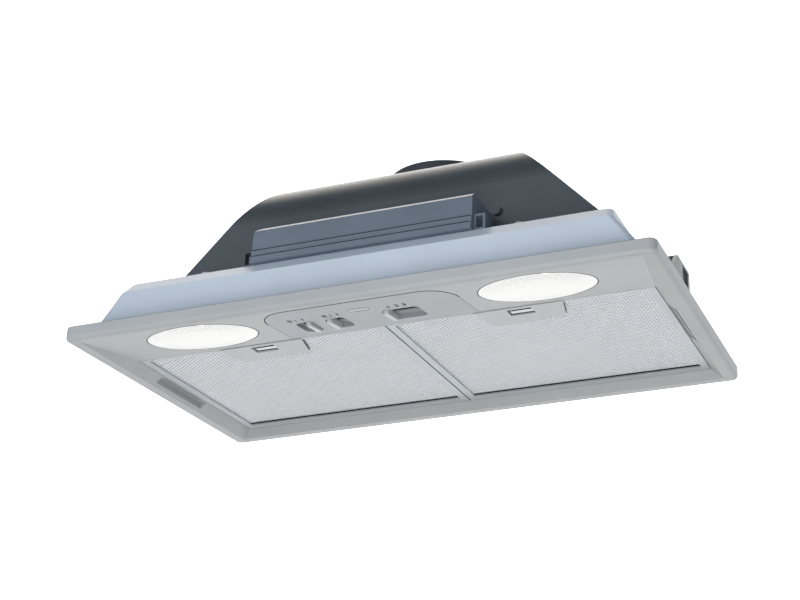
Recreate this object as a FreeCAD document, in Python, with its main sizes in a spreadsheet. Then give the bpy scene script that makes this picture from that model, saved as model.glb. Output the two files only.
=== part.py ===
"""Built-in canopy hood, modelled as a parametric assembly.

Frame: +X to the right, +Y to the rear, +Z up. The origin lies under the middle of the hood, on the
plane that the rim's underside touches. All lengths are in millimetres.
"""
import FreeCAD, Part
import math
import os
import re
import Sketcher

VECTOR = FreeCAD.Vector
TINY = 1e-4

# Driving sizes in millimetres, by piece
SIZES = {
    # Canopy: rim, sloping front strip, recess and filter opening
    "rim_width": 524, "rim_depth": 292, "rim_height": 12, "rim_corner": 7, "lip_round": 3.5,
    "lip_band": 6, "side_band": 12, "bevel_run": 10, "recess_depth": 8, "strip_run": 73.5,
    "panel_wall": 2.5, "side_border": 22, "rear_border": 17.5, "rear_bevel": 6, "upstand_wall": 2,
    "upstand_height": 9, "upstand_corner": 4, "pocket_front": 28, "pocket_rear": 47, "pocket_width": 6,
    "pocket_inset": 0.8, "pocket_roof": 3.4, "slit_width": 1.6, "slit_margin": 8, "lug_width": 5,
    "lug_thick": 4.4, "lug_gap": 0.4, "lug_root": 3, "relief_depth": 0.8, "relief_gap": 0.8,
    "seat_step": 0.5, "seat_gap": 0.3,
    # Skirt
    "skirt_wall": 1.5, "skirt_side_setback": 16, "skirt_front_setback": 17, "skirt_rear_setback": 13,
    "skirt_corner": 6,
    "skirt_flare_height": 8, "skirt_flare_run": 3, "skirt_shoulder": 34, "skirt_height": 45,
    "skirt_shoulder_run": 22, "skirt_top_run": 25, "skirt_chamfer": 9,
    # Control fascia, its three slots and the pilot lamp
    "fascia_width": 172, "fascia_setback": 3.5, "fascia_corner": 26, "fascia_wall": 1.8,
    "fascia_gap": 0.4, "slot_front": 36.5, "slot_length": 26, "slot_depth": 4, "slot_corner": 5,
    "light_slot_place": -58, "light_slot_width": 16, "motor_slot_place": -30, "motor_slot_width": 18,
    "speed_slot_place": 29.5, "speed_slot_width": 33, "slot_wall": 1.2, "pilot_place": -1,
    "pilot_back": 25, "pilot_long": 6.5, "pilot_short": 3, "pilot_height": 3.4,
    # Slider knobs and switches
    "knob_thick": 4.4, "knob_gap": 0.4, "knob_end_gap": 1.5, "knob_proud": 2.4, "knob_stem_width": 8,
    "knob_stem_wall": 2.4, "knob_stem_height": 9, "knob_rest_inset": 1.8, "switch_height": 12,
    "switch_width": 16, "switch_base": 1.5,
    # Lamps
    "lens_place": 152, "lens_back": 35, "lens_long": 50, "lens_short": 32, "lens_gap": 0.4,
    "lens_wall": 1.6, "lens_rim": 4, "lens_dome": 1.3, "collar_wall": 1.6, "collar_height": 7,
    "bowl_wall": 1.2, "bowl_height": 30, "bowl_gap": 0.35, "waist_long": 40, "waist_short": 19.5,
    "waist_lift": 10.5, "bowl_top_long": 31, "bowl_top_short": 16, "bowl_lip": 4.6, "bulb_radius": 9,
    "bulb_length": 44, "bulb_axis": 16.5, "bulb_inset": 2, "bulb_neck_radius": 6.8,
    "bulb_neck_length": 16, "holder_radius": 10, "holder_length": 26, "holder_wall": 2.4,
    "holder_gap": 0.05, "holder_cap_length": 5,
    # Filters: frame, mesh, handle and latch
    "filter_height": 9, "filter_side_gap": 0.8, "filter_middle_gap": 0.7, "filter_front_gap": 0.5,
    "filter_rear_gap": 0.5, "filter_side_band": 7, "filter_front_band": 3, "filter_rear_band": 9,
    "filter_channel": 2.4, "mesh_lift": 3, "mesh_height": 3, "tab_width": 26, "tab_depth": 2.6,
    "tab_height": 2, "tab_lift": 4.3, "tab_place": 80, "tab_slot_gap": 0.6, "handle_width": 80,
    "handle_taper": 7, "handle_depth": 31, "handle_proud": 0.6, "handle_round": 7,
    "handle_setback": 0.5, "well_width": 26, "well_depth": 19, "well_wall": 1.4, "finger_width": 22,
    "finger_depth": 12, "finger_setback": 4, "latch_tongue": 4.2, "latch_tongue_width": 20,
    "latch_arm_width": 14, "latch_arm_height": 2.6, "latch_arm_lift": 4.4, "latch_setback": 10.5,
    "latch_reach": 0.4, "latch_gap": 0.35,
    # Motor housing
    "hump_half_base": 219, "hump_half_top": 111, "hump_height": 113, "hump_front": 76, "hump_rear": 121,
    "hump_wall": 2.5, "hump_shoulder": 45, "hump_brow": 46, "hump_back_round": 6, "hump_foot": 12,
    "boss_radius": 4.5, "boss_height": 4, "boss_place": 104.5, "boss_lift": 38.4,
    # Outlet collar and flaps
    "outlet_place": 59, "outlet_radius": 60, "outlet_wall": 2.5, "outlet_height": 34,
    "ledge_width": 2.5, "ledge_height": 1.6, "ledge_lift": 14, "flap_thick": 1.2, "flap_gap": 0.6,
    "flap_knuckle": 3, "flap_pin_radius": 1.5, "flap_pin_gap": 0.06, "flap_knuckle_length": 22,
    "flap_middle_gap": 3.6,
    # Electrics box, its cover, clips and contents
    "box_half": 101, "box_front": 125, "box_height": 34, "box_wall": 2, "box_cover_depth": 7,
    "box_step": 6, "box_step_run": 1.2, "box_lid_chamfer": 3, "box_end_inset": 3, "box_round": 7,
    "box_gap": 0.4, "clip_width": 10, "clip_depth": 6, "clip_height": 15, "clip_bar": 2,
    "terminal_long": 44, "terminal_deep": 16, "terminal_tall": 13, "terminal_inset": 51,
    "capacitor_radius": 11, "capacitor_long": 46, "capacitor_place": 34,
    # Blower casing and wheel
    "blower_y": 10, "blower_z": 96, "blower_half": 50, "blower_wall": 1.8, "volute_start": 62,
    "volute_end": 84, "inlet_radius": 46, "inlet_lip": 4, "mouth_front": -44, "mouth_rear": 40,
    "mouth_gap": 0.05, "wheel_radius": 55, "wheel_inner": 44, "wheel_half": 44, "wheel_disc": 2,
    "wheel_ring": 2.4, "wheel_hub": 9, "blade_thick": 1,
    # Motor, shaft and bracket
    "motor_radius": 36, "motor_length": 46, "motor_gap": 6, "motor_round": 5, "shaft_radius": 4,
    "shaft_gap": 0.06, "shaft_nose": 8, "arm_width": 9, "arm_thick": 2.5, "arm_ring": 5, "arm_end": 12,
    # Side supports and their pins
    "support_thick": 3, "support_long": 58, "support_rear": 12, "support_tall": 37, "support_taper": 18,
    "support_gap": 1.1, "support_window": 18, "support_window_height": 17, "support_window_drop": 3,
    "support_window_inset": 6, "support_round": 3, "support_pin_radius": 1.5, "support_pin_gap": 0.06,
    "support_pin_lift": 4, "support_eye": 2.6,
    # Deck screws and cable gland
    "screw_head_radius": 4, "screw_head_height": 3, "screw_shank_radius": 1.8, "screw_grip": 8,
    "screw_inset": 16, "screw_right": 139, "screw_left": 150, "gland_radius": 9, "gland_bore": 4,
    "gland_length": 11, "gland_flange": 12, "gland_flange_thick": 2.5, "gland_place": -120,
    "gland_lift": 26,
    # How far a cutting solid runs past what it cuts
    "overrun": 2,
}

# Sizes that follow the driving ones
FOLLOWING = {
    "opening_width": "(rim_width - 2 * side_border)",
    "opening_rear": "(rim_depth / 2 - rear_border)",
    "skirt_width": "(rim_width - 2 * skirt_side_setback)",
    "skirt_front": "(rim_depth / 2 - skirt_front_setback)",
    "skirt_rear": "(rim_depth / 2 - skirt_rear_setback)",
    "screw_front": "(rim_depth / 2 - skirt_front_setback - screw_inset)",
    "terminal_place": "(terminal_inset - box_half)",
}

# Shares of the sizes that they follow, angles in degrees and counts
LENS_DOME_SHARE = 0.62
BLADE_SWEEP_SHARE = 0.32
FRONT_KNUCKLE_SHARES = (-0.78, 0.04)
REAR_KNUCKLE_SHARES = (-0.37, 0.45)
CUT_OFF_ANGLE = -5
ARM_ANGLES = (30, 150, 270)
BLADE_COUNT = 24
SPIRAL_STEPS = 12
TERMINALS = 4

doc = FreeCAD.newDocument("CanopyHood")
sheet = doc.addObject("Spreadsheet::Sheet", "Sizes")
for number, (alias, amount) in enumerate(SIZES.items()):
    sheet.set("A%d" % (number + 1), alias)
    sheet.set("B%d" % (number + 1), str(amount))
    sheet.setAlias("B%d" % (number + 1), alias)
doc.recompute()

work = doc.addObject("Spreadsheet::Sheet", "Working")
NAMED = re.compile(r"\b(%s)\b" % "|".join(sorted(SIZES, key=len, reverse=True)))
FOLLOWER = re.compile(r"\b(%s)\b" % "|".join(FOLLOWING))
PLANES = {"XY": "XY_Plane", "XZ": "XZ_Plane", "YZ": "YZ_Plane"}
NODES = []


def bound(text):
    """Expression text with every size read from the sheet."""
    text = FOLLOWER.sub(lambda found: FOLLOWING[found.group(1)], text)
    return NAMED.sub(r"Sizes.\1", text)


def value(text):
    """Present value of an expression of sizes, worked out by the second sheet."""
    work.set("A1", "=" + bound(text))
    work.recompute()
    return float(work.get("A1"))


def bind(thing, **expressions):
    """Ties properties of an object to expressions of sizes."""
    for name, text in expressions.items():
        thing.setExpression(name, bound(text))


def place(thing, x="0", y="0", z="0"):
    """Ties an object's place to expressions of sizes."""
    for axis, text in (("x", x), ("y", y), ("z", z)):
        if text != "0":
            thing.setExpression("Placement.Base." + axis, bound(text))
    return thing


def block(name, low, size):
    """Box from its lowest corner and its three sizes."""
    thing = doc.addObject("Part::Box", name)
    bind(thing, Length=size[0], Width=size[1], Height=size[2])
    return place(thing, *low)


def rod(name, radius, length, start, axis="Z"):
    """Cylinder from the middle of its first end, along an axis."""
    thing = doc.addObject("Part::Cylinder", name)
    bind(thing, Radius=radius, Height=length)
    turn = {"X": FreeCAD.Rotation(VECTOR(0, 1, 0), 90), "Y": FreeCAD.Rotation(VECTOR(1, 0, 0), -90)}
    if axis in turn:
        thing.Placement = FreeCAD.Placement(VECTOR(), turn[axis])
    return place(thing, *start)


def fuse(name, *things):
    """One solid of several."""
    thing = doc.addObject("Part::MultiFuse", name)
    thing.Shapes = list(things)
    return thing


def cut(name, base, *tools):
    """A solid less one or more others."""
    thing = doc.addObject("Part::Cut", name)
    thing.Base = base
    thing.Tool = tools[0] if len(tools) == 1 else fuse(name + "_tools", *tools)
    return thing


def common(name, one, other):
    """What two solids share."""
    thing = doc.addObject("Part::Common", name)
    thing.Base = one
    thing.Tool = other
    return thing


def oval(name, long, short, height):
    """Ellipse in a level plane."""
    thing = doc.addObject("Part::Ellipse", name)
    bind(thing, MajorRadius=long, MinorRadius=short)
    return place(thing, z=height)


def loft(name, *sections):
    """Ruled solid through sections."""
    thing = doc.addObject("Part::Loft", name)
    thing.Sections = list(sections)
    thing.Solid = True
    thing.Ruled = True
    return thing


def outline(body, name, plane, corners, start):
    """Closed sketch of straight sides, every corner tied to sizes."""
    sketch = body.newObject("Sketcher::SketchObject", name)
    planes = {feature.Role: feature for feature in body.Origin.OriginFeatures}
    sketch.AttachmentSupport = [(planes[PLANES[plane]], "")]
    sketch.MapMode = "FlatFace"
    sketch.setExpression("AttachmentOffset.Base.z", bound(start))
    points = [VECTOR(value(across), value(up), 0) for across, up in corners]
    count = len(points)
    for index in range(count):
        sketch.addGeometry(Part.LineSegment(points[index], points[(index + 1) % count]), False)
    for index in range(count):
        sketch.addConstraint(Sketcher.Constraint("Coincident", index, 2, (index + 1) % count, 1))
    for index in range(count):
        for kind, axis in (("DistanceX", 0), ("DistanceY", 1)):
            rule = Sketcher.Constraint(kind, -1, 1, index, 1, points[index][axis])
            number = sketch.addConstraint(rule)
            sketch.setExpression("Constraints[%d]" % number, bound(corners[index][axis]))
    return sketch


def slab(name, plane, corners, start, length, rounds=()):
    """Padded outline; rounds lists (radius, corner numbers) for the edges along the pad."""
    body = doc.addObject("PartDesign::Body", name)
    first = "-(%s + %s)" % (start, length) if plane == "XZ" else start
    sketch = outline(body, name + "_outline", plane, corners, first)
    pad = body.newObject("PartDesign::Pad", name + "_pad")
    pad.Profile = sketch
    bind(pad, Length=length)
    doc.recompute()
    normal = {"XY": 2, "XZ": 1, "YZ": 0}[plane]
    across, up = [axis for axis in range(3) if axis != normal]
    pairs = []
    for radius, numbers in rounds:
        spots = [(value(corners[number][0]), value(corners[number][1])) for number in numbers]
        pairs.append((radius, spots))
    for step, (radius, spots) in enumerate(pairs):
        base = body.Tip
        names = []
        for number, edge in enumerate(base.Shape.Edges):
            ends = [vertex.Point for vertex in edge.Vertexes]
            if len(ends) < 2 or abs((ends[1] - ends[0])[normal]) < TINY:
                continue
            near = [spot for spot in spots if abs(ends[0][across] - spot[0]) < TINY
                    and abs(ends[0][up] - spot[1]) < TINY and abs(ends[1][across] - spot[0]) < TINY]
            if near:
                names.append("Edge%d" % (number + 1))
        round_edges(body, "%s_round%d" % (name, step), names, radius)
    return body


def round_edges(body, name, edges, radius):
    """Rounds named edges of a body's newest feature."""
    base = body.Tip
    fillet = body.newObject("PartDesign::Fillet", name)
    fillet.Base = (base, edges)
    bind(fillet, Radius=radius)
    body.Tip = fillet
    doc.recompute()
    return fillet


def rectangle(half, low, high):
    """Corners of an outline that is centred across."""
    return [("-(%s)" % half, low), (half, low), (half, high), ("-(%s)" % half, high)]


def on_strip(thing):
    """Lays a piece that was made level on the sloping front strip."""
    thing.Placement = FreeCAD.Placement(VECTOR(), FreeCAD.Rotation(VECTOR(1, 0, 0), 1))
    place(thing, y="-(rim_depth / 2 - lip_band)")
    thing.setExpression("Placement.Rotation.Angle", bound("atan(recess_depth / strip_run)"))
    return thing


def node(thing, name):
    """Names a finished sub-part."""
    thing.Label = name
    NODES.append(thing)
    return thing


def mirrored(name, thing):
    """The same piece on the other side of the hood's middle plane."""
    copy = doc.addObject("Part::Mirroring", name)
    copy.Source = thing
    copy.Normal = (1, 0, 0)
    return copy


def pair(name, thing):
    """A right-hand piece and its left-hand twin."""
    node(thing, name + "_right")
    node(mirrored(name + "_twin", thing), name + "_left")


def feature(name, shape):
    """Holds a shape that is made from curves worked out in code."""
    thing = doc.addObject("Part::Feature", name)
    thing.Shape = shape
    return thing


OPENING_FRONT = "(-rim_depth / 2 + lip_band + strip_run)"
FILTER_FRONT = "(-rim_depth / 2 + lip_band + strip_run + filter_front_gap)"
FILTER_REAR = "(opening_rear - filter_rear_gap)"
SKIRT_INSIDE = "(skirt_width / 2 - skirt_wall)"
SEAT_HALF = "(skirt_width / 2 + seat_gap)"
SEAT_FRONT = "(-skirt_front - seat_gap)"
DECK_TOP = "(rim_height + skirt_height)"
FAR = "(rim_height + upstand_height)"


# Canopy: rim, sloping front strip, filter opening with its upstand

def canopy_block():
    """Rim with a rounded lower edge, a shallow seat for the skirt and the upstand round the filters."""
    rim = slab("rim", "XY", rectangle("rim_width / 2", "-rim_depth / 2", "rim_depth / 2"), "0",
               "rim_height", [("rim_corner", (0, 1, 2, 3))])
    low = ["Edge%d" % (number + 1) for number, edge in enumerate(rim.Shape.Edges)
           if edge.BoundBox.ZMax < TINY]
    round_edges(rim, "rim_lip", low, "lip_round")
    seat = slab("skirt_seat", "XY",
                [("-" + SEAT_HALF, SEAT_FRONT), (SEAT_HALF, SEAT_FRONT),
                 (SEAT_HALF, "skirt_rear + seat_gap"), ("-" + SEAT_HALF, "skirt_rear + seat_gap")],
                "rim_height - seat_step", "seat_step + overrun",
                [("skirt_corner + seat_gap", (0, 1, 2, 3))])
    upstand = slab("upstand", "XY",
                   rectangle("opening_width / 2 + upstand_wall", OPENING_FRONT + " - upstand_wall",
                             "opening_rear + upstand_wall"),
                   "recess_depth", "upstand_height", [("upstand_corner", (0, 1, 2, 3))])
    return fuse("canopy_solid", cut("rim_stepped", rim, seat), upstand)


def canopy_recess():
    """Space under the hood: it deepens to the rear along the strip and has wedge-shaped sides."""
    front = "-rim_depth / 2 + lip_band"
    side = "(rim_width / 2 - side_band)"
    along = slab("recess_along", "YZ",
                 [(front, "-overrun"), ("opening_rear + rear_bevel", "-overrun"),
                  ("opening_rear + rear_bevel", "0"), ("opening_rear", "recess_depth"),
                  (OPENING_FRONT, "recess_depth"), (front, "0")],
                 "-rim_width / 2", "rim_width")
    across = slab("recess_across", "XZ",
                  [("-" + side, "-overrun"), (side, "-overrun"), (side, "0"),
                   (side + " - bevel_run", "recess_depth"), ("-" + side + " + bevel_run", "recess_depth"),
                   ("-" + side, "0")],
                  "-rim_depth / 2", "rim_depth")
    return common("recess", along, across)


def strip_hollow():
    """Space above the sloping strip, inside the skirt."""
    slope = "recess_depth / strip_run"
    front = "(-skirt_front + skirt_wall)"
    rear = "(" + OPENING_FRONT + " - upstand_wall)"
    height = "(%s + rim_depth / 2 - lip_band) * " + slope + " + panel_wall"
    return slab("strip_hollow", "YZ",
                [(front, height % front), (rear, height % rear), (rear, "rim_height + overrun"),
                 (front, "rim_height + overrun")],
                "-" + SKIRT_INSIDE, "2 * " + SKIRT_INSIDE)


def lamp_taper(name, gap, start):
    """Oval taper that the lamp's bowl follows, on the right, wider by a gap; start is its lower end."""
    rings = []
    for index, (long, short, height) in enumerate((("lens_long", "lens_short", start),
                                                   ("lens_long", "lens_short", "bowl_lip"),
                                                   ("waist_long", "waist_short", "waist_lift"),
                                                   ("bowl_top_long", "bowl_top_short", "bowl_height"))):
        ring = oval("%s_ring_%d" % (name, index), long + " + " + gap, short + " + " + gap, height)
        rings.append(place(ring, "lens_place", "lens_back"))
    return loft(name, *rings)


def lamp_collar():
    """Upright oval wall round the lamp hole, which the bowl is pushed up into."""
    rings = []
    for index, height in enumerate(("panel_wall / 2", "collar_height")):
        ring = oval("lamp_collar_ring_%d" % index, "lens_long + lens_gap + collar_wall",
                    "lens_short + lens_gap + collar_wall", height)
        rings.append(place(ring, "lens_place", "lens_back"))
    return on_strip(loft("lamp_collar", *rings))


def fascia_outline(name, gap, start, length):
    """Fascia's shape on the strip: rounded front corners and a straight rear edge."""
    half = "fascia_width / 2 + " + gap
    front = "fascia_setback - " + gap
    rear = "sqrt(strip_run * strip_run + recess_depth * recess_depth)"
    return slab(name, "XY", rectangle(half, front, rear), start, length,
                [("fascia_corner + " + gap, (0, 1))])


def canopy():
    """The moulded underside that all the visible pieces sit in."""
    opening = block("filter_opening", ("-opening_width / 2", OPENING_FRONT, "-overrun"),
                    ("opening_width", "opening_rear - " + OPENING_FRONT, FAR + " + 2 * overrun"))
    lamp_hole = on_strip(lamp_taper("lamp_hole", "lens_gap", "-overrun"))
    fascia_seat = on_strip(fascia_outline("fascia_seat", "fascia_gap", "-overrun", "overrun + fascia_wall"))
    behind_slots = block("switch_window",
                         ("light_slot_place - light_slot_width", "slot_front - 2 * slot_wall", "0"),
                         ("speed_slot_place + speed_slot_width - light_slot_place + light_slot_width",
                          "slot_length + 4 * slot_wall", "rim_height"))
    behind_pilot = block("pilot_window",
                         ("pilot_place - pilot_long - pilot_short", "pilot_back - 2 * pilot_short", "0"),
                         ("2 * pilot_long + 2 * pilot_short", "4 * pilot_short", "rim_height"))
    windows = on_strip(fuse("strip_windows", behind_slots, behind_pilot))
    pocket = block("side_pocket", ("opening_width / 2 + pocket_inset", "-pocket_front", "-overrun"),
                   ("pocket_width", "pocket_front + pocket_rear", "overrun + rim_height - pocket_roof"))
    slit = block("side_slit", ("opening_width / 2 + pocket_inset + upstand_wall",
                               "-pocket_front + slit_margin", "0"),
                 ("slit_width", "pocket_front + pocket_rear - 2 * slit_margin", "rim_height + overrun"))
    notches = [block("tab_slot_%d" % index,
                     ("%s - tab_width / 2 - tab_slot_gap" % middle, "opening_rear - overrun", "rim_height"),
                     ("tab_width + 2 * tab_slot_gap", "upstand_wall + 2 * overrun", "upstand_height"))
               for index, middle in enumerate(tab_places())]
    relief = block("support_relief",
                   ("skirt_width / 2", "support_rear - support_long - lug_width - relief_gap",
                    "rim_height - relief_depth"),
                   ("support_gap + support_thick + 2 * relief_gap",
                    "support_long + 2 * (lug_width + relief_gap)", "relief_depth + overrun"))
    collar = lamp_collar()
    shell = cut("canopy_shell", canopy_block(), canopy_recess(), opening, strip_hollow())
    walls = fuse("canopy_walls", shell, collar, mirrored("lamp_collar_twin", collar))
    tools = [lamp_hole, mirrored("lamp_hole_twin", lamp_hole), fascia_seat, windows, pocket,
             mirrored("side_pocket_twin", pocket), slit, mirrored("side_slit_twin", slit), relief,
             mirrored("support_relief_twin", relief)] + notches
    body = cut("canopy_moulding", walls, *tools)
    lugs = []
    for index, start in enumerate(("-support_long - lug_gap - lug_width + support_rear",
                                   "support_rear + lug_gap")):
        lug = block("lug_%d" % index, (SUPPORT_X + " - lug_thick / 2", start, "rim_height - lug_root"),
                    ("lug_thick", "lug_width", "lug_root + support_pin_lift + support_eye"))
        lugs.append(lug)
    bores = rod("lug_bore", "support_pin_radius + support_pin_gap", "support_long + 4 * lug_width",
                (SUPPORT_X, "-support_long + support_rear - 2 * lug_width", SUPPORT_Z), "Y")
    pillars = cut("support_lugs", fuse("lug_pair", *lugs), bores)
    node(fuse("canopy_body", body, pillars, mirrored("support_lugs_twin", pillars)), "canopy")


SUPPORT_X = "(skirt_width / 2 + support_gap + support_thick / 2)"
SUPPORT_Z = "(rim_height + support_pin_lift)"
FILTER_MIDDLE = "((opening_width / 2 - filter_side_gap + filter_middle_gap) / 2)"


def tab_places():
    """Middles of the four tabs that hook the filters in at the rear."""
    return [sign + "(" + FILTER_MIDDLE + hand + " tab_place / 2)" for sign in ("", "-") for hand in "+-"]


SCREW_PLACES = ("screw_right", "-screw_left")


# Skirt: painted steel body with raked ends, a chamfered top edge and a deck

def skirt_section(inset, drop, height):
    """Rounded rectangle of the skirt at one height, as a face outline."""
    run, lift, chamfer = height
    half = value("skirt_width / 2 - (%s) - (%s)" % (run, inset))
    front = value("-skirt_front + (%s) + (%s)" % (chamfer, inset))
    rear = value("skirt_rear - (%s) - (%s)" % (chamfer, inset))
    level = value("rim_height + (%s) - (%s)" % (lift, drop))
    radius = value("skirt_corner - (%s)" % inset)
    lines = []
    spots = [(half, front, 1), (half, rear, 2), (-half, rear, 3), (-half, front, 0)]
    arcs = []
    for x, y, quarter in spots:
        middle = VECTOR(x - math.copysign(radius, x), y + (radius if y == front else -radius), level)
        start = math.radians(90 * quarter - 180)
        points = [middle + VECTOR(math.cos(start + turn), math.sin(start + turn), 0) * radius
                  for turn in (0, math.pi / 4, math.pi / 2)]
        arcs.append(Part.Arc(*points).toShape())
    for index, arc in enumerate(arcs):
        following = arcs[(index + 1) % 4]
        lines.append(arc)
        lines.append(Part.LineSegment(arc.Vertexes[-1].Point, following.Vertexes[0].Point).toShape())
    return Part.Wire(lines)


def skirt_solid(inset, drop):
    """Solid through the skirt's four heights; its foot stands in the canopy's seat."""
    heights = [("0", "-seat_step", "0"), ("skirt_flare_run", "skirt_flare_height", "0"),
               ("skirt_shoulder_run", "skirt_shoulder", "0"),
               ("skirt_top_run", "skirt_height", "skirt_chamfer")]
    wires = [skirt_section(inset, drop, height) for height in heights]
    return Part.makeLoft(wires, True, True)


def skirt():
    """Open at the bottom, with a deck that the motor housing and the box stand on."""
    outer = feature("skirt_outer", skirt_solid("0", "0"))
    inner = feature("skirt_inner", skirt_solid("skirt_wall", "skirt_wall"))
    window = block("deck_window", ("-hump_half_base + hump_foot", "-hump_front + hump_foot",
                                   DECK_TOP + " - 2 * overrun"),
                   ("2 * (hump_half_base - hump_foot)", "hump_front + hump_rear - 2 * hump_foot",
                    "3 * overrun"))
    holes = [rod("deck_hole_%d" % index, "screw_shank_radius", "screw_grip",
                 (across, "-screw_front", DECK_TOP + " - screw_grip / 2"))
             for index, across in enumerate(SCREW_PLACES)]
    node(cut("skirt_body", outer, inner, window, *holes), "skirt")


# Control fascia, knobs, switches and pilot lamp, all made level and laid on the strip

SLOTS = (("light", "light_slot_place", "light_slot_width"), ("motor", "motor_slot_place", "motor_slot_width"),
         ("speed", "speed_slot_place", "speed_slot_width"))


def dish(name, middle, width, grow, start, length):
    """Rounded slot outline, grown by a wall."""
    half = "(%s) / 2 + (%s)" % (width, grow)
    corners = [("%s - (%s)" % (middle, half), "slot_front - (%s)" % grow),
               ("%s + (%s)" % (middle, half), "slot_front - (%s)" % grow),
               ("%s + (%s)" % (middle, half), "slot_front + slot_length + (%s)" % grow),
               ("%s - (%s)" % (middle, half), "slot_front + slot_length + (%s)" % grow)]
    return slab(name, "XY", corners, start, length, [("slot_corner + (%s)" % grow, (0, 1, 2, 3))])


def stem_slot(name, middle, width):
    """Through slot that a knob's stem travels in."""
    return block(name, ("%s - (%s) / 2 + slot_wall" % (middle, width),
                        "slot_front + slot_length / 2 - knob_stem_width / 2 - knob_gap", "-overrun"),
                 ("%s - 2 * slot_wall" % width, "knob_stem_width + 2 * knob_gap",
                  "slot_depth + slot_wall + switch_base + 2 * overrun"))


def stadium(name, gap, start, height):
    """Upright solid with round ends at the pilot lamp's place, smaller by a gap."""
    bar = block(name + "_bar", ("pilot_place - pilot_long", "pilot_back - pilot_short + " + gap, start),
                ("2 * pilot_long", "2 * (pilot_short - %s)" % gap, height))
    ends = [rod("%s_end_%d" % (name, index), "pilot_short - " + gap, height,
                ("pilot_place %s pilot_long" % hand, "pilot_back", start))
            for index, hand in enumerate("-+")]
    return fuse(name, bar, *ends)


def fascia():
    """Inset moulding with three dishes for the knobs and an oval for the pilot lamp."""
    sheet_part = fascia_outline("fascia_sheet", "0", "0", "fascia_wall")
    cups = [dish(name + "_cup", middle, width, "slot_wall", "0", "slot_depth + slot_wall")
            for name, middle, width in SLOTS]
    hollows = [dish(name + "_dish", middle, width, "0", "-overrun", "slot_depth + overrun")
               for name, middle, width in SLOTS]
    slots = [stem_slot(name + "_stem_slot", middle, width) for name, middle, width in SLOTS]
    pilot_hole = stadium("pilot_hole", "0", "-overrun", "pilot_height + 2 * overrun")
    solid = fuse("fascia_solid", sheet_part, *cups)
    node(on_strip(cut("fascia_body", solid, *(hollows + slots + [pilot_hole]))), "control_fascia")


def knob(name, middle, width):
    """Half-round grip with a stem into its switch; the light's knob rests at its right-hand stop."""
    left = "(%s - (%s) / 2 + knob_rest_inset)" % (middle, width)
    if name == "light_knob":
        left = "(%s + (%s) / 2 - knob_rest_inset - knob_thick)" % (middle, width)
    reach = "(slot_length / 2 - knob_end_gap)"
    centre = "(slot_front + slot_length / 2)"
    disc = rod(name + "_grip_disc", reach, "knob_thick", (left, centre, "slot_depth - knob_gap"), "X")
    keep = block(name + "_grip_keep", (left + " - overrun", centre + " - " + reach, "-knob_proud"),
                 ("knob_thick + 2 * overrun", "2 * " + reach, "slot_depth + knob_proud - knob_gap"))
    grip = common(name + "_grip", disc, keep)
    stem = block(name + "_stem", (left + " + knob_thick / 2 - knob_stem_wall / 2",
                                  centre + " - knob_stem_width / 2", "slot_depth - knob_gap - overrun"),
                 ("knob_stem_wall", "knob_stem_width", "knob_stem_height"))
    node(on_strip(fuse(name + "_body", grip, stem)), name)


def switch(name, middle, width):
    """Slide switch on the back of the fascia; its slot takes the knob's stem."""
    low = ("%s - (%s) / 2" % (middle, width), "slot_front + slot_length / 2 - switch_width / 2",
           "slot_depth + slot_wall")
    case = block(name + "_case", low, (width, "switch_width", "switch_height"))
    hollow = block(name + "_hollow",
                   ("%s - (%s) / 2 + slot_wall" % (middle, width),
                    "slot_front + slot_length / 2 - knob_stem_width / 2 - knob_gap",
                    "slot_depth + slot_wall - overrun"),
                   ("%s - 2 * slot_wall" % width, "knob_stem_width + 2 * knob_gap",
                    "knob_stem_height + overrun"))
    node(on_strip(cut(name + "_body", case, hollow)), name)


def controls():
    """The three sliders with their switches, and the pilot lamp."""
    fascia()
    for name, middle, width in SLOTS:
        knob(name + "_knob", middle, width)
        switch(name + "_switch", middle, width)
    node(on_strip(stadium("pilot_body", "knob_gap / 4", "0", "pilot_height")), "pilot_lamp_lens")


# Lamps: lens, bowl, bulb and holder, right-hand ones first

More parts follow.
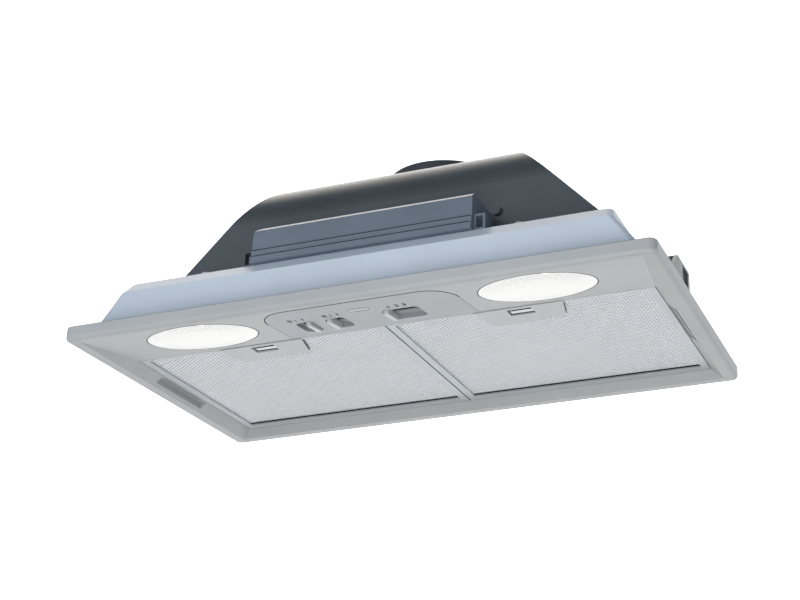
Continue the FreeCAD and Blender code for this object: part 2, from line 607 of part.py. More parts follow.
def lamps():
    """An oval lens that unclips at its outer end, over a bowl with a small bulb lying in it."""
    plate = place(oval("lens_edge_low", "lens_long", "lens_short", "0"), "lens_place", "lens_back")
    rise = place(oval("lens_edge_high", "lens_long", "lens_short", "lens_rim"), "lens_place", "lens_back")
    dome = place(oval("lens_dome_low", "lens_long * %r" % LENS_DOME_SHARE,
                      "lens_short * %r" % LENS_DOME_SHARE, "-lens_dome"), "lens_place", "lens_back")
    well_low = place(oval("lens_well_low", "lens_long - lens_wall", "lens_short - lens_wall",
                          "lens_wall"), "lens_place", "lens_back")
    well_high = place(oval("lens_well_high", "lens_long - lens_wall", "lens_short - lens_wall",
                           "lens_rim + overrun"), "lens_place", "lens_back")
    well_dome = place(oval("lens_well_dome", "lens_long * %r" % LENS_DOME_SHARE,
                           "lens_short * %r" % LENS_DOME_SHARE, "lens_wall - lens_dome"),
                      "lens_place", "lens_back")
    lens = cut("lens_shell", loft("lens_solid", dome, plate, rise),
               loft("lens_well", well_dome, well_low, well_high))
    pair("lamp_cover", on_strip(lens))

    outside = lamp_taper("bowl_outside", "bowl_gap", "lens_rim + lens_gap / 2")
    inside = lamp_taper("bowl_inside", "bowl_gap - bowl_wall", "0")
    roof = block("bowl_roof", ("lens_place - bowl_top_long", "lens_back - bowl_top_short",
                               "bowl_height - bowl_wall"),
                 ("2 * bowl_top_long", "2 * bowl_top_short", "2 * overrun"))
    neck = rod("bowl_neck_hole", "holder_radius + holder_gap", "lens_long",
               ("lens_place", "lens_back", "bulb_axis"), "X")
    bowl = cut("bowl_body", outside, cut("bowl_space", inside, roof), neck)
    pair("lamp_bowl", on_strip(bowl))

    start = "(lens_place - bulb_length / 2 - bulb_inset)"
    glass = rod("bulb_glass", "bulb_radius", "bulb_length", (start, "lens_back", "bulb_axis"), "X")
    tip = doc.addObject("Part::Sphere", "bulb_tip")
    bind(tip, Radius="bulb_radius")
    place(tip, start, "lens_back", "bulb_axis")
    neck_end = rod("bulb_neck", "bulb_neck_radius", "bulb_neck_length",
                   (start + " + bulb_length", "lens_back", "bulb_axis"), "X")
    pair("lamp_bulb", on_strip(fuse("bulb_body", glass, tip, neck_end)))

    mouth = "(%s + bulb_length + holder_gap)" % start
    case = rod("holder_case", "holder_radius", "holder_length", (mouth, "lens_back", "bulb_axis"), "X")
    socket = rod("holder_socket", "bulb_neck_radius + holder_gap", "bulb_neck_length + overrun",
                 (mouth + " - overrun", "lens_back", "bulb_axis"), "X")
    cap = rod("holder_cap", "holder_radius - 2 * holder_wall", "holder_length + holder_cap_length",
              (mouth, "lens_back", "bulb_axis"), "X")
    pair("lamp_holder", on_strip(cut("holder_body", fuse("holder_solid", case, cap), socket)))


# Filters: frame, mesh, handle and latch, right-hand ones first

FILTER_LOW = "(filter_middle_gap)"
FILTER_WIDTH = "(opening_width / 2 - filter_side_gap - filter_middle_gap)"
FILTER_LENGTH = "(%s - %s)" % (FILTER_REAR, FILTER_FRONT)
WELL_FRONT = "(%s + filter_front_band)" % FILTER_FRONT


def filter_frame():
    """Shallow metal cassette with a channel for the mesh, two rear tabs and a notch for the latch."""
    solid = block("frame_solid", (FILTER_LOW, FILTER_FRONT, "recess_depth"),
                  (FILTER_WIDTH, FILTER_LENGTH, "filter_height"))
    light = block("frame_light",
                  (FILTER_LOW + " + filter_side_band", FILTER_FRONT + " + filter_front_band",
                   "recess_depth - overrun"),
                  (FILTER_WIDTH + " - 2 * filter_side_band",
                   FILTER_LENGTH + " - filter_front_band - filter_rear_band",
                   "filter_height + 2 * overrun"))
    channel = block("frame_channel",
                    (FILTER_LOW + " + filter_side_band - filter_channel",
                     FILTER_FRONT + " + filter_front_band", "recess_depth + mesh_lift"),
                    (FILTER_WIDTH + " - 2 * filter_side_band + 2 * filter_channel",
                     FILTER_LENGTH + " - filter_front_band - filter_rear_band + filter_channel",
                     "mesh_height"))
    notch = block("frame_notch",
                  (FILTER_MIDDLE + " - latch_arm_width / 2 - latch_gap", FILTER_FRONT + " - overrun",
                   "recess_depth + latch_arm_lift - latch_gap"),
                  ("latch_arm_width + 2 * latch_gap", "filter_front_band + 2 * overrun",
                   "latch_arm_height + 2 * latch_gap"))
    tabs = [block("frame_tab_%d" % index,
                  (FILTER_MIDDLE + " %s tab_place / 2 - tab_width / 2" % hand, FILTER_REAR,
                   "recess_depth + tab_lift"),
                  ("tab_width", "tab_depth", "tab_height")) for index, hand in enumerate("+-")]
    frame = cut("frame_cut", solid, light, channel, notch)
    pair("filter_frame", fuse("frame_body", frame, *tabs))


def filter_mesh():
    """Grease mesh that fills the channel, with a bay at the front for the handle's well."""
    pad = block("mesh_pad", (FILTER_LOW + " + filter_side_band - filter_channel", WELL_FRONT,
                             "recess_depth + mesh_lift"),
                (FILTER_WIDTH + " - 2 * filter_side_band + 2 * filter_channel",
                 FILTER_LENGTH + " - filter_front_band - filter_rear_band + filter_channel",
                 "mesh_height"))
    bay = block("mesh_bay", (FILTER_MIDDLE + " - well_width / 2", WELL_FRONT + " - overrun",
                             "recess_depth"),
                ("well_width", "well_depth + overrun", "filter_height"))
    pair("filter_mesh", cut("mesh_body", pad, bay))


def filter_handle():
    """Tapered grip plate under the front edge, with a covered finger well."""
    half = "handle_width / 2"
    front = FILTER_FRONT + " + handle_setback"
    rear = "(%s + handle_depth)" % front
    plate = slab("handle_plate", "XY",
                 [(FILTER_MIDDLE + " - " + half, front), (FILTER_MIDDLE + " + " + half, front),
                  (FILTER_MIDDLE + " + %s - handle_taper" % half, rear),
                  (FILTER_MIDDLE + " - %s + handle_taper" % half, rear)],
                 "recess_depth - handle_proud", "mesh_lift + handle_proud",
                 [("handle_round", (2, 3))])
    ledge = block("handle_band_space", (FILTER_MIDDLE + " - handle_width", FILTER_FRONT, "recess_depth"),
                  ("2 * handle_width", "filter_front_band", "filter_height"))
    well = block("handle_well", (FILTER_MIDDLE + " - well_width / 2", WELL_FRONT,
                                 "recess_depth - handle_proud"),
                 ("well_width", "well_depth", "filter_height + handle_proud"))
    room = block("handle_room",
                 (FILTER_MIDDLE + " - well_width / 2 + well_wall", WELL_FRONT + " - overrun",
                  "recess_depth + well_wall - handle_proud"),
                 ("well_width - 2 * well_wall", "well_depth - well_wall + overrun",
                  "filter_height - 2 * well_wall + handle_proud"))
    finger = block("handle_finger", (FILTER_MIDDLE + " - finger_width / 2",
                                     FILTER_FRONT + " + finger_setback", "recess_depth - overrun"),
                   ("finger_width", "finger_depth", "filter_height / 2 + overrun"))
    solid = cut("handle_step", fuse("handle_solid", plate, well), ledge)
    pair("filter_handle", cut("handle_body", solid, room, finger))


def filter_latch():
    """Sprung slide: a finger tongue with a flat arm whose nose stands at the front edge."""
    sole = "(well_wall - handle_proud + latch_gap)"
    tongue = block("latch_tongue_block",
                   (FILTER_MIDDLE + " - latch_tongue_width / 2", FILTER_FRONT + " + latch_setback",
                    "recess_depth + " + sole),
                   ("latch_tongue_width", "latch_tongue", "latch_arm_lift + latch_arm_height - " + sole))
    arm = block("latch_arm", (FILTER_MIDDLE + " - latch_arm_width / 2",
                              FILTER_FRONT + " - filter_front_gap + latch_reach",
                              "recess_depth + latch_arm_lift"),
                ("latch_arm_width", "latch_setback + latch_tongue + filter_front_gap - latch_reach",
                 "latch_arm_height"))
    pair("filter_latch", fuse("latch_body", tongue, arm))


# Motor housing: raked ends, rounded shoulders and brow, open below and round the outlet

def hump(name, inset, foot):
    """Common of the front view and the side view, smaller by an inset."""
    base = "(%s - (%s))" % (DECK_TOP, foot)
    top = "(%s + hump_height - (%s))" % (DECK_TOP, inset)
    half_base = "(hump_half_base - (%s))" % inset
    half_top = "(hump_half_top - (%s) / 2)" % inset
    front = "(-hump_front + (%s))" % inset
    rear = "(hump_rear - (%s))" % inset
    view = slab(name + "_front_view", "XZ",
                [("-" + half_base, base), (half_base, base), (half_top, top), ("-" + half_top, top)],
                front, rear + " - " + front, [("hump_shoulder - (%s)" % inset, (2, 3))])
    side = slab(name + "_side_view", "YZ", [(front, base), (rear, base), (rear, top), (front, top)],
                "-" + half_base, "2 * " + half_base,
                [("hump_brow - (%s)" % inset, (3,)), ("hump_back_round - (%s)" % inset, (2,))])
    return common(name, view, side)


def motor_housing():
    """Dark moulded cover over the blower."""
    outer = hump("hump_outer", "0", "0")
    inner = hump("hump_inner", "hump_wall", "overrun")
    hole = rod("outlet_hole", "outlet_radius - outlet_wall", "hump_wall + 2 * overrun",
               ("0", "outlet_place", DECK_TOP + " + hump_height - hump_wall - overrun"))
    boss = rod("housing_boss", "boss_radius", "boss_height + hump_wall / 2",
               ("boss_place", "-hump_front - boss_height", DECK_TOP + " + boss_lift"), "Y")
    gland_hole = rod("gland_hole", "gland_radius - gland_flange_thick", "hump_wall + 2 * overrun",
                     ("gland_place", "hump_rear - hump_wall - overrun", DECK_TOP + " + gland_lift"), "Y")
    shell = cut("housing_shell", outer, inner, hole, gland_hole)
    node(fuse("housing_body", shell, boss), "motor_housing")


# Electrics box on the deck, in front of the housing

BOX_REAR = "(-hump_front - box_gap)"
COVER_REAR = "(-box_front + box_cover_depth)"


def electrics_box():
    """Tray with side walls, and a stepped cover that forms its front and lid."""
    low = ("-box_half + box_end_inset", COVER_REAR + " + box_gap", DECK_TOP)
    size = ("2 * (box_half - box_end_inset)", BOX_REAR + " - " + COVER_REAR + " - 2 * box_gap",
            "box_height - box_wall - box_gap")
    tray = block("tray_solid", low, size)
    space = block("tray_space",
                  ("-box_half + box_end_inset + box_wall", COVER_REAR + " + box_gap + box_wall",
                   DECK_TOP + " + box_wall"),
                  ("2 * (box_half - box_end_inset - box_wall)",
                   BOX_REAR + " - " + COVER_REAR + " - 2 * box_gap - 2 * box_wall", "box_height"))
    node(cut("tray_body", tray, space), "electrics_box")
    front = "-box_front"
    steps = [(front + " + 3 * box_step_run + box_wall", DECK_TOP), (front, DECK_TOP),
             (front, DECK_TOP + " + box_step"),
             (front + " + box_step_run", DECK_TOP + " + box_step"),
             (front + " + box_step_run", DECK_TOP + " + 2 * box_step"),
             (front + " + 2 * box_step_run", DECK_TOP + " + 2 * box_step"),
             (front + " + 2 * box_step_run", DECK_TOP + " + box_height - box_lid_chamfer"),
             (front + " + 2 * box_step_run + box_lid_chamfer", DECK_TOP + " + box_height"),
             (BOX_REAR, DECK_TOP + " + box_height"),
             (BOX_REAR, DECK_TOP + " + box_height - box_wall"),
             (front + " + 3 * box_step_run + box_wall", DECK_TOP + " + box_height - box_wall")]
    cover = slab("cover_profile", "YZ", steps, "-box_half", "2 * box_half")
    cheeks = [block("cover_cheek_%d" % index, (start, front + " + 3 * box_step_run", DECK_TOP),
                    ("box_wall", BOX_REAR + " + box_front - 3 * box_step_run", "box_height - box_wall"))
              for index, start in enumerate(("-box_half", "box_half - box_wall"))]
    keep = slab("cover_keep", "XZ", rectangle("box_half", DECK_TOP, DECK_TOP + " + box_height"),
                "-box_front - overrun", "box_front - hump_front + 2 * overrun",
                [("box_round", (3,))])
    node(common("cover_body", fuse("cover_solid", cover, *cheeks), keep), "electrics_box_cover")


def box_clips():
    """Bail-shaped clips beside the box that hold its cover."""
    for index, (name, start) in enumerate((("left", "-box_half - box_gap / 2 - clip_width"),
                                           ("right", "box_half + box_gap / 2"))):
        solid = block("clip_solid_%d" % index, (start, "-box_front + box_step", DECK_TOP),
                      ("clip_width", "clip_depth", "clip_height"))
        space = block("clip_space_%d" % index,
                      (start + " + clip_bar", "-box_front + box_step - overrun", DECK_TOP + " + clip_bar"),
                      ("clip_width - 2 * clip_bar", "clip_depth + 2 * overrun",
                       "clip_height - 2 * clip_bar"))
        node(cut("clip_body_%d" % index, solid, space), "box_clip_" + name)


def box_inside():
    """Terminal block and run capacitor on the tray's floor."""
    floor = DECK_TOP + " + box_wall"
    middle = "(%s + %s) / 2" % (BOX_REAR, COVER_REAR)
    base = block("terminal_base", ("terminal_place - terminal_long / 2", middle + " - terminal_deep / 2",
                                   floor),
                 ("terminal_long", "terminal_deep", "terminal_tall"))
    holes = [rod("terminal_hole_%d" % index, "clip_bar",
                 "terminal_tall", ("terminal_place + terminal_long * %d / %d" % (index - 1, TERMINALS),
                                   middle, floor + " + 2 * clip_bar"))
             for index in range(TERMINALS)]
    node(cut("terminal_body", base, *holes), "terminal_block")
    can = rod("capacitor_can", "capacitor_radius", "capacitor_long",
              ("capacitor_place - capacitor_long / 2", middle, floor + " + capacitor_radius"), "X")
    stud = rod("capacitor_stud", "shaft_radius / 2", "capacitor_long + shaft_nose",
               ("capacitor_place - capacitor_long / 2", middle, floor + " + capacitor_radius"), "X")
    node(fuse("capacitor_body", can, stud), "capacitor")


# Outlet: collar with two non-return flaps on one pin

OUTLET_BASE = "(%s + hump_height)" % DECK_TOP
FLAP_LEVEL = "(%s + ledge_lift + ledge_height + flap_gap / 2 + flap_thick / 2)" % OUTLET_BASE


def outlet():
    """Round spigot with a stop ledge and blind holes for the pin, and the flaps that fall shut on it."""
    middle = ("0", "outlet_place")
    tube = rod("collar_tube", "outlet_radius", "outlet_height", middle + (OUTLET_BASE,))
    bore = rod("collar_bore", "outlet_radius - outlet_wall", "outlet_height + 2 * overrun",
               middle + (OUTLET_BASE + " - overrun",))
    ledge = rod("collar_ledge", "outlet_radius - outlet_wall / 2", "ledge_height",
                middle + (OUTLET_BASE + " + ledge_lift",))
    light = rod("collar_light", "outlet_radius - outlet_wall - ledge_width", "ledge_height + 2 * overrun",
                middle + (OUTLET_BASE + " + ledge_lift - overrun",))
    pin_bore = rod("collar_pin_bore", "flap_pin_radius + flap_pin_gap",
                   "2 * outlet_radius - outlet_wall + 2 * flap_pin_gap",
                   ("-outlet_radius + outlet_wall / 2 - flap_pin_gap", "outlet_place", FLAP_LEVEL), "X")
    collar = cut("collar_shell", fuse("collar_walls", cut("collar_ring", tube, bore),
                                      cut("ledge_ring", ledge, light)), pin_bore)
    node(collar, "outlet_collar")
    node(rod("pin_body", "flap_pin_radius", "2 * outlet_radius - outlet_wall",
             ("-outlet_radius + outlet_wall / 2", "outlet_place", FLAP_LEVEL), "X"), "flap_pin")
    reach = "(outlet_radius - outlet_wall - flap_gap)"
    for index, (name, hand, starts) in enumerate((("front", "-", FRONT_KNUCKLE_SHARES),
                                                  ("rear", "", REAR_KNUCKLE_SHARES))):
        disc = rod("flap_disc_%d" % index, reach, "flap_thick",
                   middle + (FLAP_LEVEL + " - flap_thick / 2",))
        start = ("outlet_place - outlet_radius" if hand else "outlet_place + flap_middle_gap")
        keep = block("flap_keep_%d" % index, ("-outlet_radius", start, FLAP_LEVEL + " - flap_thick"),
                     ("2 * outlet_radius", "outlet_radius - flap_middle_gap", "2 * flap_thick"))
        leaf = common("flap_leaf_%d" % index, disc, keep)
        pieces = [leaf]
        for number, share in enumerate(starts):
            at = "outlet_radius * %r" % share
            tube_part = rod("flap_tube_%d_%d" % (index, number), "flap_knuckle", "flap_knuckle_length",
                            (at, "outlet_place", FLAP_LEVEL), "X")
            web = block("flap_web_%d_%d" % (index, number),
                        (at, "outlet_place %s" % ("- flap_middle_gap - overrun" if hand else ""),
                         FLAP_LEVEL + " - flap_thick / 2"),
                        ("flap_knuckle_length", "flap_middle_gap + overrun", "flap_thick"))
            pieces += [tube_part, web]
        core = rod("flap_core_%d" % index, "flap_pin_radius + flap_pin_gap", "2 * outlet_radius",
                   ("-outlet_radius", "outlet_place", FLAP_LEVEL), "X")
        node(cut("flap_body_%d" % index, fuse("flap_solid_%d" % index, *pieces), core), "flap_" + name)


# Blower: volute casing in two halves, double-inlet wheel, motor, shaft and bracket

MOUTH_TOP = "(%s - hump_wall - mouth_gap)" % OUTLET_BASE


def volute(inset, rise):
    """Closed outline of the volute in the YZ plane, smaller by an inset and taller by a rise."""
    centre = VECTOR(0, value("blower_y"), value("blower_z"))
    first, last = value("volute_start") - inset, value("volute_end") - inset
    points = []
    for step in range(SPIRAL_STEPS + 1):
        share = step / SPIRAL_STEPS
        turn = math.radians(CUT_OFF_ANGLE + (270 - CUT_OFF_ANGLE) * share)
        radius = first + (last - first) * share
        points.append(centre + VECTOR(0, -math.sin(turn), math.cos(turn)) * radius)
    spiral = Part.BSplineCurve()
    spiral.interpolate(points)
    top = value(MOUTH_TOP) + rise
    rear = VECTOR(0, value("outlet_place + mouth_rear") - inset, top)
    front = VECTOR(0, value("outlet_place + mouth_front") + inset, top)
    edges = [spiral.toShape(), Part.LineSegment(points[-1], rear).toShape(),
             Part.LineSegment(rear, front).toShape(), Part.LineSegment(front, points[0]).toShape()]
    return Part.Face(Part.Wire(edges))


def blower_casing():
    """Right half of the casing with its round inlet; the left half is its mirror image."""
    half, wall = value("blower_half"), value("blower_wall")
    outer = feature("casing_outer", volute(0, 0).extrude(VECTOR(half, 0, 0)))
    inner = feature("casing_inner", volute(wall, value("overrun")).extrude(VECTOR(half - wall, 0, 0)))
    inlet = rod("casing_inlet", "inlet_radius", "blower_half + overrun", ("0", "blower_y", "blower_z"), "X")
    lip = rod("inlet_lip", "inlet_radius + blower_wall", "inlet_lip + blower_wall",
              ("blower_half - blower_wall", "blower_y", "blower_z"), "X")
    throat = rod("inlet_throat", "inlet_radius", "inlet_lip + 3 * overrun",
                 ("blower_half - overrun", "blower_y", "blower_z"), "X")
    ring = cut("inlet_ring", lip, throat)
    shell = fuse("casing_body", cut("casing_shell", outer, inner, inlet), ring)
    pair("blower_casing", shell)


def blade():
    """One curved blade, from its two arcs, at the top of the wheel."""
    inner, outer = value("wheel_inner"), value("wheel_radius - wheel_ring / 2")
    thick, half = value("blade_thick"), value("wheel_half - wheel_ring / 2")
    sweep = (outer - inner) * BLADE_SWEEP_SHARE
    rows = []
    for offset in (-thick / 2, thick / 2):
        rows.append([VECTOR(-half, offset, inner), VECTOR(-half, offset + sweep, (inner + outer) / 2),
                     VECTOR(-half, offset, outer)])
    first, second = rows
    edges = [Part.Arc(*first).toShape(), Part.LineSegment(first[2], second[2]).toShape(),
             Part.Arc(*second).toShape(), Part.LineSegment(second[0], first[0]).toShape()]
    return Part.Face(Part.Wire(edges)).extrude(VECTOR(2 * half, 0, 0))


def impeller():
    """Double-inlet wheel: middle disc, hub, end rings and forward-curved blades."""
    axis = VECTOR(1, 0, 0)
    half, ring, disc = value("wheel_half"), value("wheel_ring"), value("wheel_disc")
    outer, shaft, hub = value("wheel_radius"), value("shaft_radius"), value("wheel_hub")
    body = Part.makeCylinder(outer, disc, VECTOR(-disc / 2, 0, 0), axis)
    body = body.fuse(Part.makeCylinder(hub, 2 * hub, VECTOR(-hub, 0, 0), axis))
    blades = []
    for number in range(BLADE_COUNT):
        one = blade()
        one.rotate(VECTOR(), axis, 360 * number / BLADE_COUNT)
        blades.append(one)
    rings = []
    for start in (-half, half - ring):
        whole = Part.makeCylinder(outer, ring, VECTOR(start, 0, 0), axis)
        light = Part.makeCylinder(value("wheel_inner") + ring, ring, VECTOR(start, 0, 0), axis)
        rings.append(whole.cut(light))
    body = body.multiFuse(blades + rings)
    body = body.cut(Part.makeCylinder(shaft, 2 * outer, VECTOR(-outer, 0, 0), axis))
    wheel = feature("impeller_body", body)
    place(wheel, "0", "blower_y", "blower_z")
    node(wheel, "impeller")


def motor():
    """Motor on the right of the casing, its shaft through the wheel, and the three-armed bracket."""
    centre = ("blower_y", "blower_z")
    start = "(blower_half + motor_gap)"
    can = rod("motor_can", "motor_radius", "motor_length", (start,) + centre, "X")
    cap = rod("motor_cap", "motor_radius * 3 / 4", "motor_round", (start + " + motor_length",) + centre, "X")
    nose = rod("motor_nose", "wheel_hub", "motor_gap / 2", (start + " - motor_gap / 2",) + centre, "X")
    bore = rod("motor_bore", "shaft_radius + shaft_gap", "motor_length - motor_round + motor_gap",
               (start + " - motor_gap",) + centre, "X")
    node(cut("motor_body", fuse("motor_solid", can, cap, nose), bore), "motor")
    node(rod("shaft_body", "shaft_radius",
             "wheel_hub + shaft_nose + blower_half + motor_gap + motor_length / 2",
             ("-wheel_hub - shaft_nose",) + centre, "X"), "motor_shaft")
    ring = rod("bracket_ring", "motor_radius + arm_ring", "arm_thick", (start,) + centre, "X")
    hole = rod("bracket_hole", "motor_radius", "arm_thick + 2 * overrun",
               (start + " - overrun",) + centre, "X")
    arms = []
    for number, angle in enumerate(ARM_ANGLES):
        reach = block("arm_%d" % number, (start, "-arm_width / 2", "motor_radius + arm_ring / 2"),
                      ("arm_thick", "arm_width", "inlet_radius + arm_end - motor_radius - arm_ring / 2"))
        foot = block("arm_foot_%d" % number, ("blower_half", "-arm_width / 2",
                                              "inlet_radius + blower_wall + arm_thick / 2"),
                     ("motor_gap + arm_thick", "arm_width", "arm_end - blower_wall - arm_thick / 2"))
        arm = fuse("arm_body_%d" % number, reach, foot)
        arm.Placement = FreeCAD.Placement(VECTOR(), FreeCAD.Rotation(VECTOR(1, 0, 0), angle))
        arms.append(place(arm, "0", *centre))
    node(fuse("bracket_body", cut("bracket_band", ring, hole), *arms), "motor_bracket")


# Side supports: sprung plates beside the skirt that hold the hood in its cut-out

def supports():
    """Plate with a window and an eye on a pin between two lugs, on each side."""
    front, rear = "(support_rear - support_long)", "support_rear"
    top = "(%s + support_tall)" % SUPPORT_Z
    plate = slab("support_plate", "YZ",
                 [(front, SUPPORT_Z), (rear, SUPPORT_Z), (rear, top),
                  (front + " + support_taper", top), (front, top + " - support_taper")],
                 "skirt_width / 2 + support_gap", "support_thick",
                 [("support_round", (2, 3, 4))])
    window = block("support_window_block",
                   ("skirt_width / 2", "support_rear - support_window_inset - support_window",
                    top + " - support_window_drop - support_window_height"),
                   ("3 * support_thick", "support_window", "support_window_height"))
    eye = rod("support_eye_rod", "support_eye", "support_long", (SUPPORT_X, front, SUPPORT_Z), "Y")
    bore = rod("support_eye_bore", "support_pin_radius + support_pin_gap", "support_long + 2 * overrun",
               (SUPPORT_X, front + " - overrun", SUPPORT_Z), "Y")
    pair("side_support", cut("support_body", fuse("support_solid", plate, eye), window, bore))
    pair("side_support_pin",
         rod("support_pin", "support_pin_radius", "support_long + 2 * lug_gap + 2 * lug_width",
             (SUPPORT_X, front + " - lug_gap - lug_width", SUPPORT_Z), "Y"))


# Fasteners and cable gland

def screw(name, across):
    """Pan-head screw through the deck."""
    head = rod(name + "_head", "screw_head_radius", "screw_head_height", (across, "-screw_front", DECK_TOP))
    shank = rod(name + "_shank", "screw_shank_radius", "screw_grip",
                (across, "-screw_front", DECK_TOP + " - screw_grip"))
    return fuse(name, head, shank)


def small_pieces():
    """Deck screws as one group, and the gland for the supply cable."""
    group = doc.addObject("Part::Compound", "screw_group")
    group.Links = [screw("screw_%d" % index, across) for index, across in enumerate(SCREW_PLACES)]
    node(group, "deck_screws")
    start = "hump_rear"
    flange = rod("gland_rim", "gland_flange", "gland_flange_thick",
                 ("gland_place", start, DECK_TOP + " + gland_lift"), "Y")
    neck = rod("gland_neck", "gland_radius - gland_flange_thick", "gland_length + hump_wall",
               ("gland_place", start + " - hump_wall", DECK_TOP + " + gland_lift"), "Y")
    bore = rod("gland_bore_rod", "gland_bore", "2 * gland_length + 2 * hump_wall",
               ("gland_place", start + " - hump_wall - overrun", DECK_TOP + " + gland_lift"), "Y")
    node(cut("gland_body", fuse("gland_solid", flange, neck), bore), "cable_gland")


def write():
    """Checks every object and writes each sub-part."""
    doc.recompute()
    for thing in doc.Objects:
        if "Invalid" in thing.State or "Error" in thing.State:
            raise RuntimeError("%s failed: %s" % (thing.Label, thing.State))
    os.makedirs("parts", exist_ok=True)
    for thing in NODES:
        shape = thing.Shape
        if shape.isNull() or not shape.isValid() or not shape.Solids:
            raise RuntimeError("%s has no valid solid" % thing.Label)
    for thing in NODES:
        thing.Shape.exportStep("parts/%s.step" % thing.Label)
    print("wrote %d sub-parts" % len(NODES))


canopy()
skirt()
controls()
lamps()
filter_frame()
filter_mesh()
filter_handle()
filter_latch()
motor_housing()
electrics_box()
box_clips()
box_inside()
outlet()
blower_casing()
impeller()
motor()
supports()
small_pieces()
write()
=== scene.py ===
"""Looks of a built-in canopy hood: its moulded underside, lamps, filters, housing and the studio round it.

Frame: +X to the right, +Y to the rear, +Z up, in metres. Sizes in the classes below are in millimetres.
"""
import logging
import math
from dataclasses import dataclass, field
from enum import Enum
from typing import Any, Sequence

import bpy
from mathutils import Euler, Matrix, Vector


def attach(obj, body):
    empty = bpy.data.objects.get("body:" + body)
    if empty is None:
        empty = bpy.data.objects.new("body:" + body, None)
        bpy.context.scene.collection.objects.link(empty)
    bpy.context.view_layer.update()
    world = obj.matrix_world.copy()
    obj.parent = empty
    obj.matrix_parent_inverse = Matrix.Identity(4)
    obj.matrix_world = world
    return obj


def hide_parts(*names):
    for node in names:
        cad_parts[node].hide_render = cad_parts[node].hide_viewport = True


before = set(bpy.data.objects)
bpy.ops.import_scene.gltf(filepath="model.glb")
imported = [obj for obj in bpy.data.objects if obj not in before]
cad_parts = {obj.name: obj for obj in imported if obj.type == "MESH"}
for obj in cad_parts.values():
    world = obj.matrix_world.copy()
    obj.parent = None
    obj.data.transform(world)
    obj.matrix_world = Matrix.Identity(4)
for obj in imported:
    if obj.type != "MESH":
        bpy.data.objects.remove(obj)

LOG = logging.getLogger("hood")
MM = 0.001
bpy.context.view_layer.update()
Piece = bpy.types.Object
Tree = bpy.types.NodeTree
Socket = bpy.types.NodeSocket
Pair = tuple[float, float]
Point = tuple[float, float, float]
# IOR of ABS, polypropylene and paint
PLASTIC_IOR = 1.5
# Where a soft noise changes from its first colour to its last, and the noise's roughness and octaves
PATCH_START = 0.32
PATCH_SPAN = 0.36
PATCH_ROUGHNESS = 0.55
NOISE_DETAIL = 3.0


class Side(Enum):
    """Which side of the hood's middle plane a piece is on."""

    LEFT = -1
    RIGHT = 1

    @property
    def word(self) -> str:
        """Ending of the names on this side."""
        return self.name.lower()


# Colour and nodes


def linear(hex_colour: str) -> tuple[float, float, float, float]:
    """Turns an sRGB hex colour to linear values.

    Args:
        hex_colour: six hex digits.

    Returns:
        Red, green, blue and an alpha of one.
    """
    channels = [int(hex_colour[place:place + 2], 16) / 255 for place in (0, 2, 4)]
    red, green, blue = [c / 12.92 if c <= 0.04045 else ((c + 0.055) / 1.055) ** 2.4 for c in channels]
    return (red, green, blue, 1.0)


def add_node(tree: Tree, kind: str, settings: dict[str, Any] | None = None,
             values: dict[str | int, Any] | None = None) -> bpy.types.Node:
    """Adds a shader node with its settings, values and links.

    Args:
        tree: node tree of a material or a world.
        kind: type of the node, without the word ShaderNode in front.
        settings: attributes of the node.
        values: a value, or an output socket to link from, for each input.

    Returns:
        The new node.
    """
    node = tree.nodes.new("ShaderNode" + kind)
    for name, setting in (settings or {}).items():
        setattr(node, name, setting)
    for socket, value in (values or {}).items():
        if isinstance(value, Socket):
            tree.links.new(value, node.inputs[socket])
        else:
            node.inputs[socket].default_value = value
    return node


def per_metre(size_mm: float) -> float:
    """Texture scale that gives cells of about this size."""
    return 1000.0 / size_mm


@dataclass(frozen=True)
class Finish:
    """A surface: what every finish shares."""

    name: str
    colour: str
    roughness: float = 0.5

    def make(self) -> bpy.types.Material:
        """Builds the material once and hands it out after that.

        Returns:
            The material.
        """
        found = bpy.data.materials.get(self.name)
        if found:
            return found
        material = bpy.data.materials.new(self.name)
        material.use_nodes = True
        tree = material.node_tree
        tree.nodes.clear()
        place = add_node(tree, "TexCoord").outputs["Object"]
        shader = add_node(tree, "BsdfPrincipled", values=self.dress(tree, place))
        add_node(tree, "OutputMaterial", values={"Surface": shader.outputs["BSDF"]})
        material.diffuse_color = linear(self.colour)
        return material

    def dress(self, tree: Tree, place: Socket) -> dict[str, Any]:
        """Adds the surface's patterns; each finish has its own way.

        Args:
            tree: node tree of the material.
            place: object coordinates.

        Returns:
            A value, or an output socket to link from, for inputs of the principled shader.
        """
        raise NotImplementedError

    def mottle(self, tree: Tree, place: Socket, size_mm: float, colours: Sequence[str]) -> Socket:
        """Mixes two or three colours in soft patches.

        Args:
            tree: node tree of the material.
            place: coordinates that the patches follow.
            size_mm: size of a patch.
            colours: hex colours from the patches' lows to their highs.

        Returns:
            Colour socket.
        """
        noise = add_node(tree, "TexNoise", values={
            "Vector": place, "Scale": per_metre(size_mm), "Detail": NOISE_DETAIL,
            "Roughness": PATCH_ROUGHNESS})
        ramp = add_node(tree, "ValToRGB", values={"Fac": noise.outputs["Fac"]})
        elements = ramp.color_ramp.elements
        while len(elements) < len(colours):
            elements.new(PATCH_START)
        for index, colour in enumerate(colours):
            elements[index].position = PATCH_START + PATCH_SPAN * index / max(1, len(colours) - 1)
            elements[index].color = linear(colour)
        return ramp.outputs["Color"]


